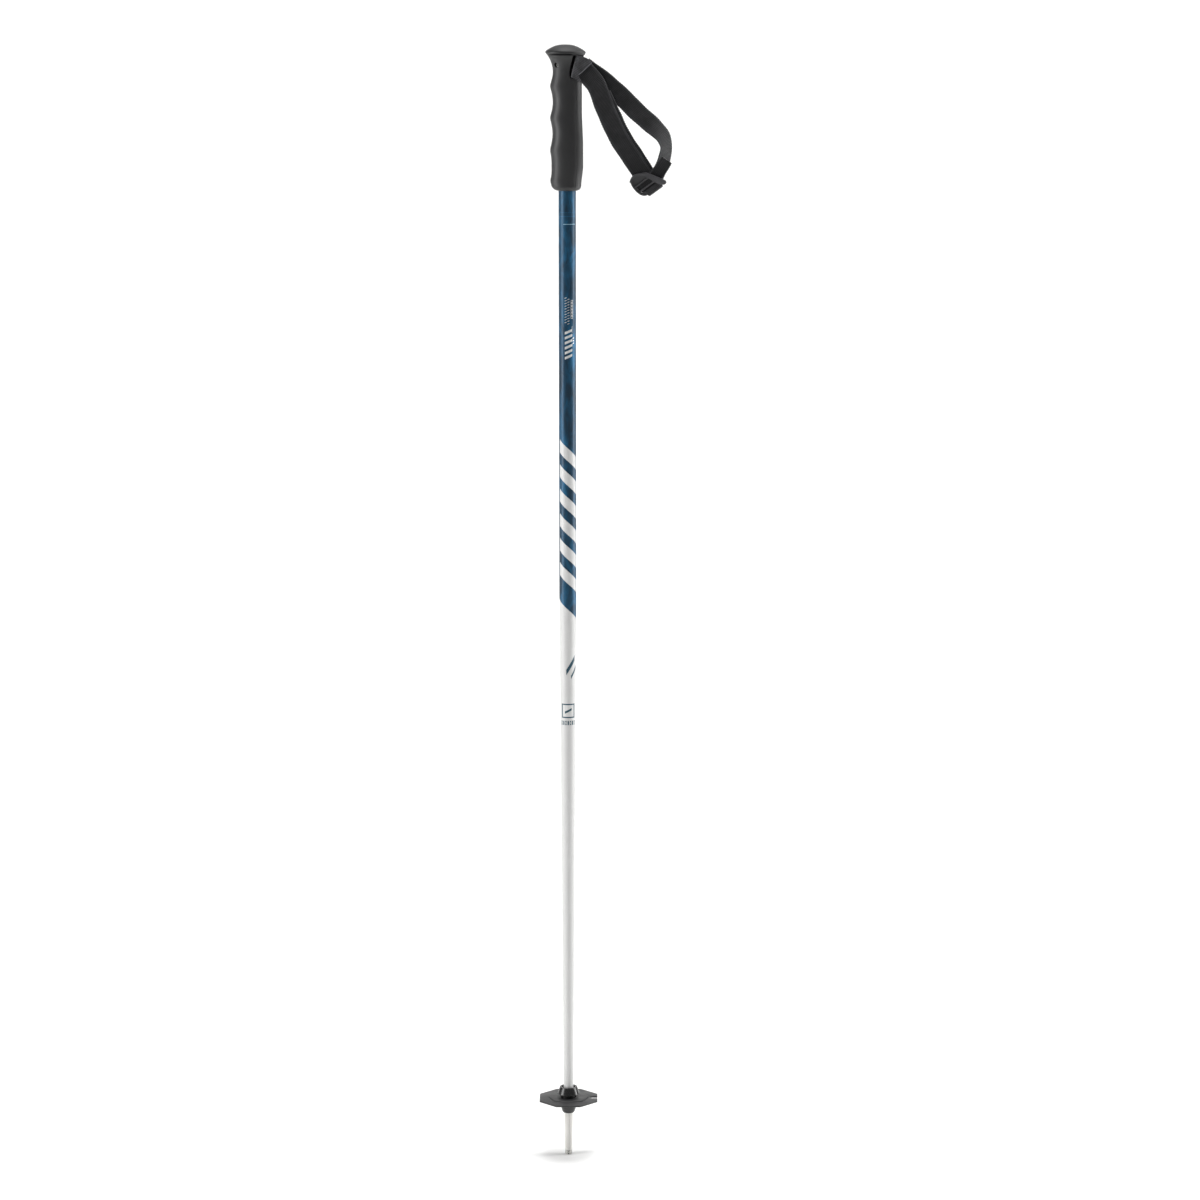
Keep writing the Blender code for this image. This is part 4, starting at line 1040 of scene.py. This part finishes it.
def bucklePoint(along, across):
    turn = buckleSet["turn"]
    x, z = buckleSet["centre"]
    return (x + along * cos(turn) + across * sin(turn), z + along * sin(turn) - across * cos(turn))


def makeBuckle():
    facts = buckleSet
    outline, recess, window = (
        [bucklePoint(along / 1000, across / 1000) for along, across in rounded(facts[key])]
        for key in ("outline", "recess", "window"))
    lip = [(x / 1000, z / 1000) for x, z in rounded(facts["lip"], 1)]
    plate = uprightPlate("buckleFrame", outline, facts["nearY"], facts["farY"])
    cutBy(plate, uprightPlate("recess", recess, -0.02, facts["recessY"]))
    cutBy(plate, uprightPlate("window", window, -0.02, -0.01))
    cutBy(plate, uprightPlate("lip", lip, facts["lipY"], facts["farY"] - facts["lipSunk"]), "UNION")
    y = facts["nearY"] + facts["barRadius"] + facts["barDeep"]
    for across, low, high in facts["bars"]:
        start, end = (bucklePoint(along / 1000, across / 1000) for along in (low, high))
        bar = placedCylinder("bar", facts["barRadius"], (start[0], y, start[1]), (end[0], y, end[1]), 24)
        cutBy(plate, bar, "UNION")
    roundEdges(plate, facts["round"], 3, 50)
    return settle(plate, satinAcetal, ["buckle_frame"], "buckle", 40)


# webbing in the buckle: behind the bars, then over and round the last bar
# in mm: path (across the bars, Y), edges (across the bars, low and high along them)
turnSet = {
    "path": [(-7.6, -13), (-4, -13.1), (0.4, -13.2), (4, -13.3), (5.6, -14), (6.8, -15.6), (8, -16.7), (9.2, -17),
        (10.3, -16.6), (11, -15.3), (11.1, -13.4), (10.4, -11.9), (8.8, -11.4)],
    "edges": [(-7.6, -9.4, -0.6), (-3, -10.8, 2.6), (2, -10.8, 6.2), (5.6, -9, 8.6), (8.2, -6.8, 9),
        (11.2, -6.4, 9.4)],
    "thick": 0.0011, "rowDepth": 0.00008, "acrossSteps": 24, "flatWidth": 0.0155,
}


def makeBuckleTurn():
    facts = turnSet
    path = [(across / 1000, y / 1000, 0.0) for across, y in facts["path"]]
    run, line = smoothLine(path, strapSet["row"] / strapSet["stepsPerRow"])
    places, lowEdge, highEdge = np.array(facts["edges"]).T / 1000
    low, high = np.interp(line[:, 0], places, lowEdge), np.interp(line[:, 0], places, highEdge)
    around = facts["acrossSteps"]
    rings, maps = [], []
    for i, (across, y, _) in enumerate(line):
        after, before = line[min(i + 1, len(line) - 1)], line[max(i - 1, 0)]
        dAcross, dY = after[0] - before[0], after[1] - before[1]
        length = hypot(dAcross, dY)
        facing = (dY / length, -dAcross / length)  # across the bars and Y, out of the near face
        rowWave = cos(2 * pi * run[i] / strapSet["row"])
        ring, spots = [], []
        for k in range(2 * around):
            share = -cos(pi * k / around)
            face = 1 if k < around else -1
            depth = facts["thick"] / 2 * sqrt(max(0.0, 1 - abs(share) ** 10))
            depth += facts["rowDepth"] * rowWave * (1 - share ** 6)
            if k % around == 0:
                depth = 0
            along = (low[i] + high[i]) / 2 + share * (high[i] - low[i]) / 2
            x, z = bucklePoint(along, across + facing[0] * face * depth)
            ring.append((x, y + facing[1] * face * depth, z))
            spots.append((along, run[i]))
        rings.append(ring)
        maps.append(spots)
    piece = bandPiece("strapBuckleTurn", rings, maps)
    settle(piece, ribbedPolyester, ["strap_buckle_turn"], "buckle", 60)


makeBuckle()
makeBuckleTurn()
print("buckle and its webbing made")

# CAD pieces that stay, hidden inside: they only need their finish
for node, material in (("shaft_top_plug", mattePolyethylene), ("strap_anchor", ribbedPolyester)):
    for place in frame["nodes"][node].material_slots:
        place.material = material

# stage: pale floor that curves up behind, soft lights left and right
stageSet = {
    "half": 7.0, "front": 8.0, "back": 4.5, "high": 6.0, "curve": 1.6, "curveSteps": 14, "dark": "#ebebea",
    "light": "#efefee",
}


def makeStage():
    facts = stageSet
    startAlone()
    bpy.ops.mesh.primitive_plane_add(size=1, location=(0, (facts["back"] - facts["front"]) / 2, 0))
    floor = named("paleFloor")
    floor.scale = (2 * facts["half"], facts["back"] + facts["front"], 1)
    bpy.ops.object.transform_apply()
    bpy.ops.object.mode_set(mode="EDIT")
    farY = max(v.co.y for v in bmesh.from_edit_mesh(floor.data).verts)
    choose(floor, "EDGE", lambda e: all(abs(v.co.y - farY) < 0.001 for v in e.verts))
    steps = facts["curveSteps"]
    for i in range(steps):
        turn, before = pi / 2 * (i + 1) / steps, pi / 2 * i / steps
        pushOut((0, facts["curve"] * (sin(turn) - sin(before)), facts["curve"] * (cos(before) - cos(turn))))
    pushOut((0, 0, facts["high"]))
    leaveEditing()
    bpy.ops.object.shade_smooth()
    made, node, shader = newMaterial("palePaper", {"Roughness": 0.9})
    place = node("TexCoord").outputs["Object"]
    cloud = node("TexNoise", {"Vector": place, "Scale": 0.8, "Detail": 2.0})
    colour = node("ValToRGB", [cloud], ramp=[(0, facts["dark"]), (1, facts["light"])])
    feed(shader, {"Base Color": colour})
    floor.data.materials.append(made)


# (place, aim, width, height, watts)
lamps = {
    "leftSoftbox": ((-1.86, -0.58, 0.9), (0, 0, 0.6), 0.8, 2.4, 42),
    "rightSoftbox": ((1.9, 0.16, 0.9), (0, 0, 0.6), 0.7, 2.4, 40),
    "overheadSoftbox": ((1.3, 0.2, 2.5), (0, 0, 0.9), 0.8, 0.8, 12),
    "backdropLamp": ((0, 1.4, 4.6), (0, 5.6, 2.2), 3.0, 1.2, 255),
}
# straight from above, so that the whole floor stays pale and upright faces keep their modelling
floorLightSet = {"strength": 1.3, "spread": 24}


def addLight(name, kind):
    light = bpy.data.objects.new(name, bpy.data.lights.new(name, kind))
    bpy.context.scene.collection.objects.link(light)
    return light


makeStage()
for name, (place, aim, wide, high, watts) in lamps.items():
    lamp = addLight(name, "AREA")
    lamp.location = place
    lamp.rotation_euler = (Vector(aim) - Vector(place)).to_track_quat("-Z", "Y").to_euler()
    lamp.data.shape, lamp.data.size, lamp.data.size_y, lamp.data.energy = "RECTANGLE", wide, high, watts
floorLight = addLight("floorLight", "SUN")
floorLight.data.energy, floorLight.data.angle = floorLightSet["strength"], radians(floorLightSet["spread"])

# the surroundings look pale but light the pole only weakly
worldSet = {"colour": "#f4f5f7", "seen": 0.92, "lighting": 0.24}
world = bpy.data.worlds.new("studio")
world.use_nodes = True
bpy.context.scene.world = world
background = world.node_tree.nodes["Background"]
rayKind = addNode(world.node_tree, "LightPath").outputs["Is Camera Ray"]
strength = addNode(world.node_tree, "MapRange", [rayKind, 0, 1, worldSet["lighting"], worldSet["seen"]])
feed(background, {"Color": linear(worldSet["colour"]), "Strength": strength})
bpy.context.scene.view_settings.view_transform = "Standard"
print("stage and lights set")

bpy.context.view_layer.update()
